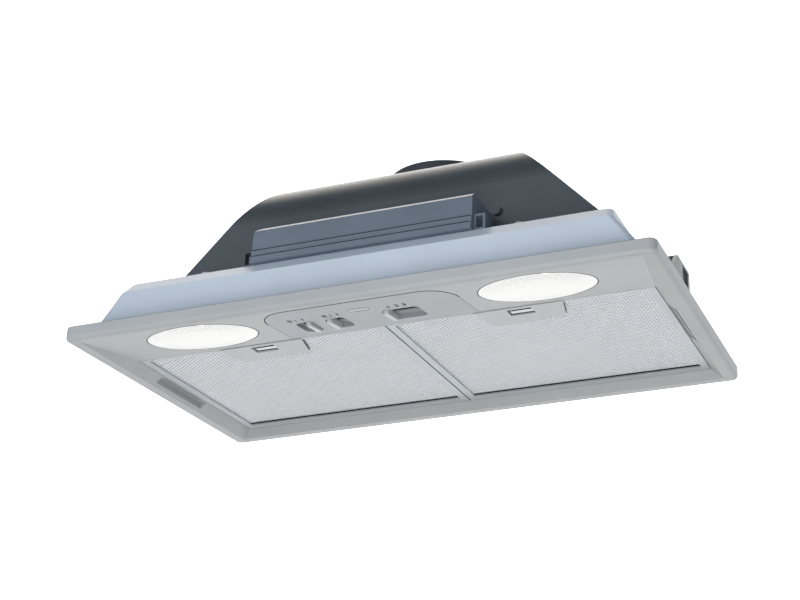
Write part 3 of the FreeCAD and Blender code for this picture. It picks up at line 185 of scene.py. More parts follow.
@dataclass(frozen=True)
class MouldedPlastic(Finish):
    """Injection-moulded ABS or polypropylene: fine spark-eroded grain, faint flow marks, soft gloss."""

    shade: str = ""
    grain_mm: float = 0.9
    grain_depth_mm: float = 0.02
    grain_span: Pair = (0.3, 0.7)
    gloss_span: Pair = (-0.05, 0.07)
    patch_mm: float = 60.0

    def dress(self, tree: Tree, place: Socket) -> dict[str, Any]:
        """Grain as a fine bump, colour in two near tones."""
        colour = self.mottle(tree, place, self.patch_mm, (self.shade or self.colour, self.colour))
        grain = add_node(tree, "TexNoise", values={"Vector": place, "Scale": per_metre(self.grain_mm)})
        spread = add_node(tree, "MapRange", values={
            "Value": grain.outputs["Fac"], "From Min": self.grain_span[0], "From Max": self.grain_span[1],
            "To Min": self.roughness + self.gloss_span[0], "To Max": self.roughness + self.gloss_span[1]})
        bump = add_node(tree, "Bump", values={
            "Height": grain.outputs["Fac"], "Distance": self.grain_depth_mm * MM})
        return {"Base Color": colour, "IOR": PLASTIC_IOR, "Roughness": spread.outputs["Result"],
                "Normal": bump.outputs["Normal"]}


@dataclass(frozen=True)
class PowderCoat(Finish):
    """Powder-coated sheet steel: slight orange peel, even satin gloss."""

    shade: str = ""
    peel_mm: float = 2.2
    peel_depth_mm: float = 0.03
    peel_strength: float = 0.5
    patch_mm: float = 90.0

    def dress(self, tree: Tree, place: Socket) -> dict[str, Any]:
        """Orange peel as a soft bump."""
        colour = self.mottle(tree, place, self.patch_mm, (self.shade or self.colour, self.colour))
        peel = add_node(tree, "TexVoronoi", {"feature": "SMOOTH_F1"}, {
            "Vector": place, "Scale": per_metre(self.peel_mm)})
        bump = add_node(tree, "Bump", values={
            "Height": peel.outputs["Distance"], "Distance": self.peel_depth_mm * MM,
            "Strength": self.peel_strength})
        return {"Base Color": colour, "IOR": PLASTIC_IOR, "Roughness": self.roughness,
                "Normal": bump.outputs["Normal"]}


@dataclass(frozen=True)
class BareMetal(Finish):
    """Metal left bare: drawn, rolled or turned, with fine streaks along one direction."""

    shade: str = ""
    streak_mm: Point = (40.0, 0.35, 0.35)
    metallic: float = 1.0
    streak_depth_mm: float = 0.02
    streak_strength: float = 0.6
    streak_span: Pair = (0.25, 0.75)
    gloss_span: Pair = (-0.06, 0.1)

    def dress(self, tree: Tree, place: Socket) -> dict[str, Any]:
        """Streaks stretch a noise along the drawing direction."""
        stretch = add_node(tree, "Mapping", values={
            "Vector": place, "Scale": [per_metre(size) for size in self.streak_mm]})
        streaks = add_node(tree, "TexNoise", values={
            "Vector": stretch.outputs["Vector"], "Scale": 1.0, "Detail": NOISE_DETAIL})
        blend = add_node(tree, "Mix", {"data_type": "RGBA"}, {
            "Factor": streaks.outputs["Fac"], "A": linear(self.shade or self.colour),
            "B": linear(self.colour)})
        spread = add_node(tree, "MapRange", values={
            "Value": streaks.outputs["Fac"], "From Min": self.streak_span[0], "From Max": self.streak_span[1],
            "To Min": self.roughness + self.gloss_span[0], "To Max": self.roughness + self.gloss_span[1]})
        bump = add_node(tree, "Bump", values={
            "Height": streaks.outputs["Fac"], "Distance": self.streak_depth_mm * MM,
            "Strength": self.streak_strength})
        return {"Base Color": blend.outputs["Result"], "Metallic": self.metallic,
                "Roughness": spread.outputs["Result"], "Normal": bump.outputs["Normal"]}


@dataclass(frozen=True)
class GalvanisedSheet(Finish):
    """Hot-dip galvanised sheet: zinc spangles of a few millimetres, half matt."""

    shade: str = "8E9396"
    spangle_mm: float = 9.0
    metallic: float = 0.9
    gloss_span: Pair = (-0.08, 0.12)

    def dress(self, tree: Tree, place: Socket) -> dict[str, Any]:
        """Spangles are cells of a Voronoi texture, each a slightly different grey."""
        cells = add_node(tree, "TexVoronoi", {"feature": "F1"}, {
            "Vector": place, "Scale": per_metre(self.spangle_mm)})
        level = add_node(tree, "SeparateColor", values={"Color": cells.outputs["Color"]})
        blend = add_node(tree, "Mix", {"data_type": "RGBA"}, {
            "Factor": level.outputs["Red"], "A": linear(self.shade), "B": linear(self.colour)})
        spread = add_node(tree, "MapRange", values={
            "Value": level.outputs["Green"], "To Min": self.roughness + self.gloss_span[0],
            "To Max": self.roughness + self.gloss_span[1]})
        return {"Base Color": blend.outputs["Result"], "Metallic": self.metallic,
                "Roughness": spread.outputs["Result"]}


@dataclass(frozen=True)
class LitOpal(Finish):
    """Moulded prismatic lens of clear acrylic with the lamp burning behind it, dotted to the front."""

    glow: str = "FFFFFF"
    power: float = 1.0
    ior: float = 1.49
    prism_mm: float = 2.6
    prism_depth_mm: float = 0.3
    prism_strength: float = 0.8
    prism_order: float = 0.5
    # Glow in the middle of a prism and at its edge, and how far from its middle each of them is
    prism_glow: Pair = (1.3, 0.75)
    prism_reach: Pair = (0.1, 0.6)
    front_mm: float = -133.0
    rear_mm: float = -97.0
    lamp_mm: float = 152.0
    # Painted glint: a warm spot of extra light at the lens's front edge, standing for the bulb's reflection
    spark: Point = (17.0, -136.6, 0.6)
    spark_mm: float = 5.0
    spark_glow: str = "FFD08A"
    spark_power: float = 2.5

    def dress(self, tree: Tree, place: Socket) -> dict[str, Any]:
        """Small prisms break the glow into dots towards the front; a warm painted glint, standing for the
        bulb's reflection, sits at the edge.
        """
        dots = add_node(tree, "TexVoronoi", {"feature": "F1"}, {
            "Vector": place, "Scale": per_metre(self.prism_mm), "Randomness": self.prism_order})
        axes = add_node(tree, "SeparateXYZ", values={"Vector": place})
        depth = add_node(tree, "MapRange", {"interpolation_type": "SMOOTHSTEP"}, {
            "Value": axes.outputs["Y"], "From Min": self.front_mm * MM, "From Max": self.rear_mm * MM})
        hand = add_node(tree, "Math", {"operation": "SIGN"}, {0: axes.outputs["X"]})
        across = add_node(tree, "Math", {"operation": "MULTIPLY_ADD"}, {
            0: hand.outputs["Value"], 1: -self.lamp_mm * MM, 2: axes.outputs["X"]})
        local = add_node(tree, "CombineXYZ", values={
            "X": across.outputs["Value"], "Y": axes.outputs["Y"], "Z": axes.outputs["Z"]})
        away = add_node(tree, "VectorMath", {"operation": "DISTANCE"}, {
            0: local.outputs["Vector"], 1: [c * MM for c in self.spark]})
        spark = add_node(tree, "MapRange", {"interpolation_type": "SMOOTHSTEP"}, {
            "Value": away.outputs["Value"], "From Max": self.spark_mm * MM, "To Min": 1.0, "To Max": 0.0})
        dotted = add_node(tree, "MapRange", values={
            "Value": dots.outputs["Distance"],
            "From Min": self.prism_reach[0], "From Max": self.prism_reach[1],
            "To Min": self.prism_glow[0], "To Max": self.prism_glow[1]})
        level = add_node(tree, "Mix", {"data_type": "FLOAT"}, {
            "Factor": depth.outputs["Result"], "A": dotted.outputs["Result"], "B": 1.0})
        base = add_node(tree, "Math", {"operation": "MULTIPLY"}, {0: level.outputs["Result"], 1: self.power})
        total = add_node(tree, "Math", {"operation": "MULTIPLY_ADD"}, {
            0: spark.outputs["Result"], 1: self.spark_power, 2: base.outputs["Value"]})
        warm = add_node(tree, "Mix", {"data_type": "RGBA"}, {
            "Factor": spark.outputs["Result"], "A": linear(self.glow), "B": linear(self.spark_glow)})
        bump = add_node(tree, "Bump", values={
            "Height": dots.outputs["Distance"], "Distance": self.prism_depth_mm * MM,
            "Strength": self.prism_strength})
        return {"Base Color": linear(self.colour), "IOR": self.ior, "Roughness": self.roughness,
                "Emission Color": warm.outputs["Result"], "Emission Strength": total.outputs["Value"],
                "Normal": bump.outputs["Normal"]}


@dataclass(frozen=True)
class PlainGlow(Finish):
    """A surface that gives light, such as frosted bulb glass."""

    power: float = 1.0
    shade: str = ""
    patch_mm: float = 12.0

    def dress(self, tree: Tree, place: Socket) -> dict[str, Any]:
        """Light in soft patches."""
        colour = self.mottle(tree, place, self.patch_mm, (self.shade or self.colour, self.colour))
        return {"Base Color": colour, "Roughness": self.roughness, "Emission Color": colour,
                "Emission Strength": self.power}


@dataclass(frozen=True)
class Rubber(Finish):
    """Moulded black rubber with a dry, slightly dusty surface and hardly any gloss."""

    gloss: float = 0.15
    dust: str = "2B2B2B"
    dust_mm: float = 6.0

    def dress(self, tree: Tree, place: Socket) -> dict[str, Any]:
        """Dust as lighter patches."""
        colour = self.mottle(tree, place, self.dust_mm, (self.colour, self.dust))
        return {"Base Color": colour, "Roughness": self.roughness, "Specular IOR Level": self.gloss}


# Light grey ABS of the whole underside: even, with a faint sheen on the sloping faces
CANOPY_ABS = MouldedPlastic("light grey moulded ABS", "A5A8A8", 0.42, shade="A0A3A3")
# The inset panel's ABS: a shade darker, so that the panel stands out from the strip
FASCIA_ABS = MouldedPlastic("light grey panel ABS", "969A9D", 0.4, shade="919598")
# The same ABS from a polished tool: handle plates with a clearer highlight
GRIP_ABS = MouldedPlastic("light grey polished ABS", "AEB2B4", 0.34, shade="A9ADAF", grain_mm=1.4)
# Paler ABS of the sliders, the paler tone painted light: they stand out light over their dark dishes
KNOB_ABS = MouldedPlastic("grey slider ABS", "BEC1C2", 0.38, shade="B7BABB", grain_mm=0.7)
# Slippery acetal latch tongues drawn near white, a painted highlight: they stand out light in their dark
# wells
LATCH_HIGHLIGHT = MouldedPlastic("natural white acetal", "F4F5F4", 0.3, shade="EDEEED", grain_mm=0.7)
# Powder coat of the skirt, drawn pale blue-grey: its blue tint is painted light on paint of the canopy's
# grey; even and satin, with a slight orange peel
SKIRT_COAT = PowderCoat("pale blue-grey powder coat", "BAC5CF", 0.4, shade="B4BFCA")
# Slate polypropylene of the housing: dark, with a soft sheen at grazing light; its grain is drawn coarse
HOUSING_PP = MouldedPlastic("slate moulded polypropylene", "434B50", 0.36, shade="3E454A", grain_mm=1.6,
                            grain_depth_mm=0.004)
# Bluer polypropylene of the electrics box and its right clip: paler, with crisper highlights
BOX_PP = MouldedPlastic("blue-slate moulded polypropylene", "5E6A76", 0.34, shade="57626E")
# Charcoal polypropylene of the outlet and the left clip: nearly black beside the box
DARK_PP = MouldedPlastic("charcoal moulded polypropylene", "3A4045", 0.42, shade="33383D")
# Black ABS of switches, flaps, wheel and leaf springs: deep and half matt; on the leaf springs the black is
# painted shade behind the supports
BLACK_ABS = MouldedPlastic("black moulded ABS", "1D1E20", 0.45, shade="18191A")
# Heat-proof plastic of lamp holders and terminals: warm against the greys
CREAM_PBT = MouldedPlastic("cream moulded PBT", "E4E1D6", 0.4, shade="DCD8CC", patch_mm=20.0)
# Stoved enamel inside the lamp bowls: bright and smooth
WHITE_ENAMEL = MouldedPlastic("white reflector enamel", "EDEDEA", 0.3, shade="E4E4E0")
# Acetal of the side supports: waxy, and darker than the canopy
SUPPORT_POM = MouldedPlastic("grey moulded acetal", "707377", 0.4, shade="686B6F")
# Printed figures and bars: flat and dark
PRINT_INK = MouldedPlastic("dark grey pad print", "26282A", 0.6)
# Cords and blocks in the gaps, painted shade: dull and black, so that each gap reads as a dark line
PAINTED_SHADE_CORD = Rubber("black sealing cord", "141516", 0.8)
# Tinted lens of the pilot lamp: unlit, it hardly differs from the panel
PILOT_LENS = MouldedPlastic("tinted pilot lens", "9C9EA0", 0.25, shade="949698", patch_mm=8.0)
# Expanded aluminium of the grease mesh: bright strands
MESH_ALUMINIUM = BareMetal("expanded aluminium strand", "ECEFF1", 0.45, shade="DCE0E2",
                           streak_mm=(6.0, 6.0, 6.0), metallic=0.15)
# The pad behind the strands: dark and dull, painted shade of the mesh's deeper layers, so that the cells show
# as dots
MESH_PAINTED_SHADE = BareMetal("expanded aluminium in shade", "26292A", 0.7, shade="1A1C1D",
                      streak_mm=(2.0, 2.0, 2.0), metallic=0.0)
# Rolled aluminium of the filters' frames: satin, more grey than mirror
FRAME_ALUMINIUM = BareMetal("rolled aluminium", "B9BDBF", 0.42, shade="AFB4B6", metallic=0.45)
# Drawn steel of pins, screws and shaft: bright, with streaks along X
DRAWN_STEEL = BareMetal("drawn zinc-plated steel", "B9BDC0", 0.34, shade="A1A5A8")
# Deep-drawn steel of the motor's can: greyer and softer
MOTOR_STEEL = BareMetal("deep-drawn motor steel", "8B9094", 0.42, shade="7A7F83")
# Galvanised sheet of the casing and the motor's bracket: patches of zinc spangles
ZINC_SHEET = GalvanisedSheet("galvanised sheet", "A9AEB1", 0.45)
# Lens with the lamp burning behind it: nearly white, dotted, with a painted warm glint at its edge
LENS_LIT = LitOpal("lit prismatic lens", "AEB0B0", 0.25, glow="FFFBF3", power=0.34)
# Polished rim of the lens: a thin light line, its near-white a painted highlight of the clear edge
LENS_RIM = MouldedPlastic("clear lens rim", "F6F7F7", 0.2, shade="EFF0F0", grain_mm=3.0)
# Frosted glass of the lit bulb: a warm, even glow
BULB_LIT = PlainGlow("frosted bulb glass, lit", "FFF6E6", 0.4, power=3.0, shade="FFE9C4")
# Rubber of the cable gland: black and dull
GLAND_RUBBER = Rubber("black gland rubber", "161616", 0.7)
# The studio's matt pale floor and its evenly lit white wall
FLOOR_VINYL = MouldedPlastic("pale studio floor", "EDEDED", 0.8, shade="E8E8E8", patch_mm=400.0)
WALL_LIT = PlainGlow("lit white backdrop", "FFFFFF", 0.8)


# Modelling by operators

# Faces along a rounded corner and round half a cord's section, and how near a vertex counts as found
ROUND_SEGMENTS = 10
CORD_SEGMENTS = 2
FOUND = MM / 100


def clear_selection() -> None:
    """Leaves edit mode and selects nothing."""
    if bpy.context.object and bpy.context.object.mode != "OBJECT":
        bpy.ops.object.mode_set(mode="OBJECT")
    bpy.ops.object.select_all(action="DESELECT")


def pick(thing: Piece) -> None:
    """Selects one object and makes it the active one."""
    clear_selection()
    thing.select_set(True)
    bpy.context.view_layer.objects.active = thing


def settle(thing: Piece) -> Piece:
    """Moves an object's place, turn and size into its mesh."""
    pick(thing)
    bpy.ops.object.transform_apply(location=True, rotation=True, scale=True)
    return thing


def block(name: str, low: Sequence[float], high: Sequence[float]) -> Piece:
    """Adds a box between two corners.

    Args:
        name: name of the piece.
        low: lowest corner in millimetres.
        high: highest corner in millimetres.

    Returns:
        The box.
    """
    clear_selection()
    centre = [(a + b) / 2 * MM for a, b in zip(low, high)]
    bpy.ops.mesh.primitive_cube_add(size=1.0, location=centre)
    thing = bpy.context.object
    thing.name = name
    thing.scale = [(b - a) * MM for a, b in zip(low, high)]
    return settle(thing)


def apply_modifier(thing: Piece, kind: str, **settings: Any) -> Piece:
    """Adds a modifier to a piece and applies it.

    Args:
        thing: the piece.
        kind: modifier type.
        settings: attributes of the modifier.

    Returns:
        The piece.
    """
    pick(thing)
    modifier = thing.modifiers.new(kind.lower(), kind)
    for name, setting in settings.items():
        setattr(modifier, name, setting)
    bpy.ops.object.modifier_apply(modifier=modifier.name)
    return thing


def soften(thing: Piece, width: float, segments: int = 3, angle: float = 30.0) -> Piece:
    """Rounds every edge sharper than an angle, with a bevel in millimetres."""
    return apply_modifier(thing, "BEVEL", width=width * MM, segments=segments, limit_method="ANGLE",
                          angle_limit=math.radians(angle), harden_normals=False)


def slice_off(thing: Piece, point: Sequence[float], outward: Sequence[float]) -> Piece:
    """Cuts away what lies past a plane and closes the cut.

    Args:
        thing: the piece.
        point: point of the plane in millimetres.
        outward: the plane's normal, towards what goes.

    Returns:
        The piece.
    """
    pick(thing)
    bpy.ops.object.mode_set(mode="EDIT")
    bpy.ops.mesh.select_all(action="SELECT")
    bpy.ops.mesh.bisect(plane_co=[c * MM for c in point], plane_no=outward, use_fill=True, clear_outer=True)
    bpy.ops.object.mode_set(mode="OBJECT")
    return thing


def join(name: str, things: Sequence[Piece]) -> Piece:
    """Joins several objects into one piece."""
    clear_selection()
    for thing in things:
        thing.select_set(True)
    bpy.context.view_layer.objects.active = things[0]
    bpy.ops.object.join()
    things[0].name = name
    return things[0]


def smooth(thing: Piece, angle: float = 35.0) -> None:
    """Smooths shading below an angle."""
    pick(thing)
    bpy.ops.object.shade_smooth_by_angle(angle=math.radians(angle))


def deliver(thing: Piece, body: str, finish: Finish, replaces: Sequence[str] = (),
            angle: float = 35.0) -> Piece:
    """Finishes a piece: shading, material and the body that it rides on.

    Args:
        thing: the piece.
        body: CAD body that it moves with.
        finish: its surface.
        replaces: CAD nodes that it stands for.
        angle: edges sharper than this stay sharp.

    Returns:
        The piece.
    """
    settle(thing)
    smooth(thing, angle)
    thing.data.materials.clear()
    thing.data.materials.append(finish.make())
    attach(thing, body)
    if replaces:
        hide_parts(*replaces)
    LOG.info("piece %s: %d faces on %s", thing.name, len(thing.data.polygons), body)
    return thing


def dress_node(name: str, finish: Finish, angle: float = 30.0) -> None:
    """Gives a CAD node its material and smooth shading."""
    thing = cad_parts[name]
    thing.data.materials.clear()
    thing.data.materials.append(finish.make())
    smooth(thing, angle)


def seam(name: str, corners: Sequence[Pair], rounds: Sequence[float], level: float,
         radius: float) -> Piece:
    """Adds a thin closed cord along an outline with rounded corners.

    Args:
        name: name of the piece.
        corners: near left, near right, far left and far right corner in millimetres.
        rounds: rounding radius of each corner in millimetres, nought for a sharp one.
        level: height of the cord's middle in millimetres.
        radius: radius of the cord in millimetres.

    Returns:
        The cord.
    """
    clear_selection()
    bpy.ops.mesh.primitive_plane_add(size=1.0)
    thing = bpy.context.object
    thing.name = name
    for vertex, (across, back) in zip(thing.data.vertices, corners):
        vertex.co = (across * MM, back * MM, level * MM)
    for (across, back), size in reversed([pair for pair in zip(corners, rounds) if pair[1]]):
        spot = Vector((across * MM, back * MM, level * MM))
        bpy.ops.object.mode_set(mode="EDIT")
        bpy.ops.mesh.select_mode(type="VERT")
        bpy.ops.mesh.select_all(action="DESELECT")
        bpy.ops.object.mode_set(mode="OBJECT")
        for vertex in thing.data.vertices:
            vertex.select = (vertex.co - spot).length < FOUND
        bpy.ops.object.mode_set(mode="EDIT")
        bpy.ops.mesh.bevel(offset=size * MM, segments=ROUND_SEGMENTS, affect="VERTICES")
        bpy.ops.object.mode_set(mode="OBJECT")
    bpy.ops.object.mode_set(mode="EDIT")
    bpy.ops.mesh.select_all(action="SELECT")
    bpy.ops.mesh.delete(type="ONLY_FACE")
    bpy.ops.object.mode_set(mode="OBJECT")
    bpy.ops.object.convert(target="CURVE")
    thing.data.bevel_depth = radius * MM
    thing.data.bevel_resolution = CORD_SEGMENTS
    bpy.ops.object.convert(target="MESH")
    return thing


@dataclass
class Strip:
    """The sloping front strip: pieces are modelled level on it and then laid down."""

    front: float = -140.0
    run: float = 73.5
    rise: float = 8.0

    @property
    def matrix(self) -> Matrix:
        """Turn and move from the level drawing to the strip."""
        turn = Matrix.Rotation(math.atan2(self.rise, self.run), 4, "X")
        return Matrix.Translation((0.0, self.front * MM, 0.0)) @ turn

    def lay(self, thing: Piece) -> Piece:
        """Lays a level piece on the strip."""
        thing.matrix_world = self.matrix @ thing.matrix_world
        return settle(thing)


STRIP = Strip()


@dataclass
class Canopy:
    """Moulded underside with its rim; the painted skirt stands on it."""

    half_width: float = 261.4
    half_depth: float = 145.4
    corner: float = 6.4
    cord_level: float = 12.1
    cord_radius: float = 0.4

    def build(self) -> None:
        """Dresses the CAD nodes and lays a dark cord of painted shade along the rim's upper edge."""
        dress_node("canopy", CANOPY_ABS)
        dress_node("skirt", SKIRT_COAT)
        corners = [(across * self.half_width, back * self.half_depth)
                   for back in (-1, 1) for across in (-1, 1)]
        cord = seam("rim_cord", corners, [self.corner] * len(corners), self.cord_level, self.cord_radius)
        deliver(cord, "hood", PAINTED_SHADE_CORD)


@dataclass
class Slider:
    """One slider: its name, and each figure beside it with the figure's place across."""

    name: str
    marks: tuple[tuple[str, float], ...]


@dataclass
class Controls:
    """Inset control panel: three sliders, their marks and the pilot lamp."""

    sliders: tuple[Slider, ...] = (
        Slider("light", (("0", -66.0), ("1", -54.0))),
        Slider("motor", (("0", -34.0), ("1", -22.0))),
        Slider("speed", (("1", 24.3), ("2", 31.5), ("3", 38.3))),
    )
    mark_back: float = 28.5
    mark_height: float = 5.4
    mark_relief: float = 0.12
    mark_bold: float = 0.28
    mark_scale: float = 1.35
    bar_half: float = 0.4
    # Middle of the printed bar beside each on and off slider
    bars: tuple[tuple[str, float], ...] = (("light", -60.6), ("motor", -28.4))
    knob_bevel: float = 0.7
    knob_angle: float = 50.0
    weld: float = 0.02
    flat_angle: float = 2.0
    panel_half: float = 86.2
    panel_front: float = 3.3
    panel_rear: float = 73.6
    panel_round: float = 26.2
    cord_radius: float = 0.45
    cord_level: float = 0.12
    pilot_middle: Pair = (-1.0, 25.0)
    pilot_half: Pair = (9.5, 3.0)
    pilot_round: float = 2.9
    pilot_cord: float = 0.22
    pilot_level: float = 0.05

    def build(self) -> None:
        """Panel, knobs, switches, marks and pilot lamp, with the cords round the panel and the lamp."""
        dress_node("control_fascia", FASCIA_ABS)
        self.panel_seam()
        self.pilot_seam()
        dress_node("pilot_lamp_lens", PILOT_LENS)
        for slider in self.sliders:
            dress_node(slider.name + "_switch", BLACK_ABS)
            self.knob(slider)
            for text, across in slider.marks:
                self.mark(slider.name, text, across)
        for name, across in self.bars:
            self.bar_mark(name, across)

    def panel_seam(self) -> None:
        """Dark cord of painted shade in the gap along the panel's front and round its front corners."""
        corners = [(hand * self.panel_half, back) for back in (self.panel_front, self.panel_rear)
                   for hand in (-1, 1)]
        cord = seam("panel_seam", corners, (self.panel_round, self.panel_round, 0.0, 0.0),
                    self.cord_level, self.cord_radius)
        slice_off(cord, (0.0, self.panel_front + self.panel_round, 0.0), (0.0, 1.0, 0.0))
        deliver(STRIP.lay(cord), "hood", PAINTED_SHADE_CORD)

    def pilot_seam(self) -> None:
        """Thin dark cord of painted shade in the gap round the pilot lamp."""
        (across, back), (long, short) = self.pilot_middle, self.pilot_half
        corners = [(across + hand * long, back + end * short) for end in (-1, 1) for hand in (-1, 1)]
        cord = seam("pilot_seam", corners, [self.pilot_round] * len(corners), self.pilot_level,
                    self.pilot_cord)
        deliver(STRIP.lay(cord), "hood", PAINTED_SHADE_CORD)

    def knob(self, slider: Slider) -> None:
        """Grip of a slider, from the CAD node with rounded edges.

        Args:
            slider: the slider.
        """
        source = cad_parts[slider.name + "_knob"]
        copy = source.copy()
        copy.data = source.data.copy()
        bpy.context.scene.collection.objects.link(copy)
        copy.parent = None
        copy.matrix_world = Matrix.Identity(4)
        for key in list(copy.keys()):
            del copy[key]
        copy.name = slider.name + "_knob_grip"
        pick(copy)
        bpy.ops.object.mode_set(mode="EDIT")
        bpy.ops.mesh.select_all(action="SELECT")
        bpy.ops.mesh.remove_doubles(threshold=self.weld * MM)
        bpy.ops.mesh.dissolve_limited(angle_limit=math.radians(self.flat_angle))
        bpy.ops.object.mode_set(mode="OBJECT")
        soften(copy, self.knob_bevel, angle=self.knob_angle)
        deliver(copy, slider.name + "_knob", KNOB_ABS, [slider.name + "_knob"])

    def mark(self, slider: str, text: str, across: float) -> None:
        """Raised print of one figure beside a slider.

        Args:
            slider: name of the slider.
            text: the figure.
            across: its middle along X in millimetres.
        """
        clear_selection()
        bpy.ops.object.text_add(location=(0.0, 0.0, 0.0))
        label = bpy.context.object
        label.data.body = text
        label.data.align_x = "CENTER"
        label.data.align_y = "CENTER"
        label.data.size = self.mark_height * self.mark_scale * MM
        label.data.extrude = self.mark_relief * MM
        label.data.offset = self.mark_bold * MM
        bpy.ops.object.convert(target="MESH")
        label.matrix_world = (Matrix.Translation((across * MM, self.mark_back * MM, 0.0))
                              @ Matrix.Rotation(math.pi, 4, "X"))
        label.name = "%s_mark_%s" % (slider, text)
        settle(label)
        deliver(STRIP.lay(label), "hood", PRINT_INK)

    def bar_mark(self, slider: str, across: float) -> None:
        """Short printed bar between the two figures."""
        half = self.mark_height / 2
        bar = block(slider + "_mark_bar",
                    (across - self.bar_half, self.mark_back - half, -self.mark_relief),
                    (across + self.bar_half, self.mark_back + half, self.mark_relief))
        deliver(STRIP.lay(bar), "hood", PRINT_INK)


@dataclass
class Lamps:
    """Oval lit lenses with bowls, bulbs and holders behind them."""

    across: float = 152.0
    back: float = 35.0
    half_length: float = 50.0
    half_width: float = 32.0
    # The light bead's near-white is a painted highlight on the lens's edge
    bead: float = 0.55
    inset: float = 1.2
    lift: float = 0.1
    # Dark cord round the lens's edge: painted shade of the gap
    seal: float = 0.3
    seal_inset: float = -0.25
    seal_lift: float = 0.1
    ring_segments: tuple[int, int] = (96, 12)
    dome_angle: float = 50.0

    def build(self) -> None:
        """Dresses both lamps and adds the light bead, a painted highlight, and a dark cord of painted shade
        round each lens.
        """
        for side in Side:
            dress_node("lamp_cover_" + side.word, LENS_LIT, self.dome_angle)
            dress_node("lamp_bowl_" + side.word, WHITE_ENAMEL)
            dress_node("lamp_bulb_" + side.word, BULB_LIT)
            dress_node("lamp_holder_" + side.word, CREAM_PBT)
            bead = self.ring("lens_bead_", side, self.inset, self.bead, self.lift)
            deliver(bead, "lamp_cover_" + side.word, LENS_RIM)
            seal = self.ring("lens_seal_", side, self.seal_inset, self.seal, self.seal_lift)
            deliver(seal, "lamp_cover_" + side.word, PAINTED_SHADE_CORD)

    def ring(self, name: str, side: Side, inset: float, radius: float, lift: float) -> Piece:
        """Oval ring along the edge of a lens.

        Args:
            name: start of its name.
            side: which lamp.
            inset: how far inside the lens's edge its middle runs, in millimetres.
            radius: radius of its section in millimetres.
            lift: height of its middle over the strip's face in millimetres.

        Returns:
            The ring, laid on the strip.
        """
        clear_selection()
        around, across = self.ring_segments
        bpy.ops.mesh.primitive_torus_add(major_segments=around, minor_segments=across,
                                         major_radius=(self.half_width - inset) * MM,
                                         minor_radius=radius * MM)
        ring = bpy.context.object
        ring.name = name + side.word
        stretch = (self.half_length - inset) / (self.half_width - inset)
        ring.scale = (stretch, 1.0, 1.0)
        ring.location = (side.value * self.across * MM, self.back * MM, lift * MM)
        settle(ring)
        return STRIP.lay(ring)


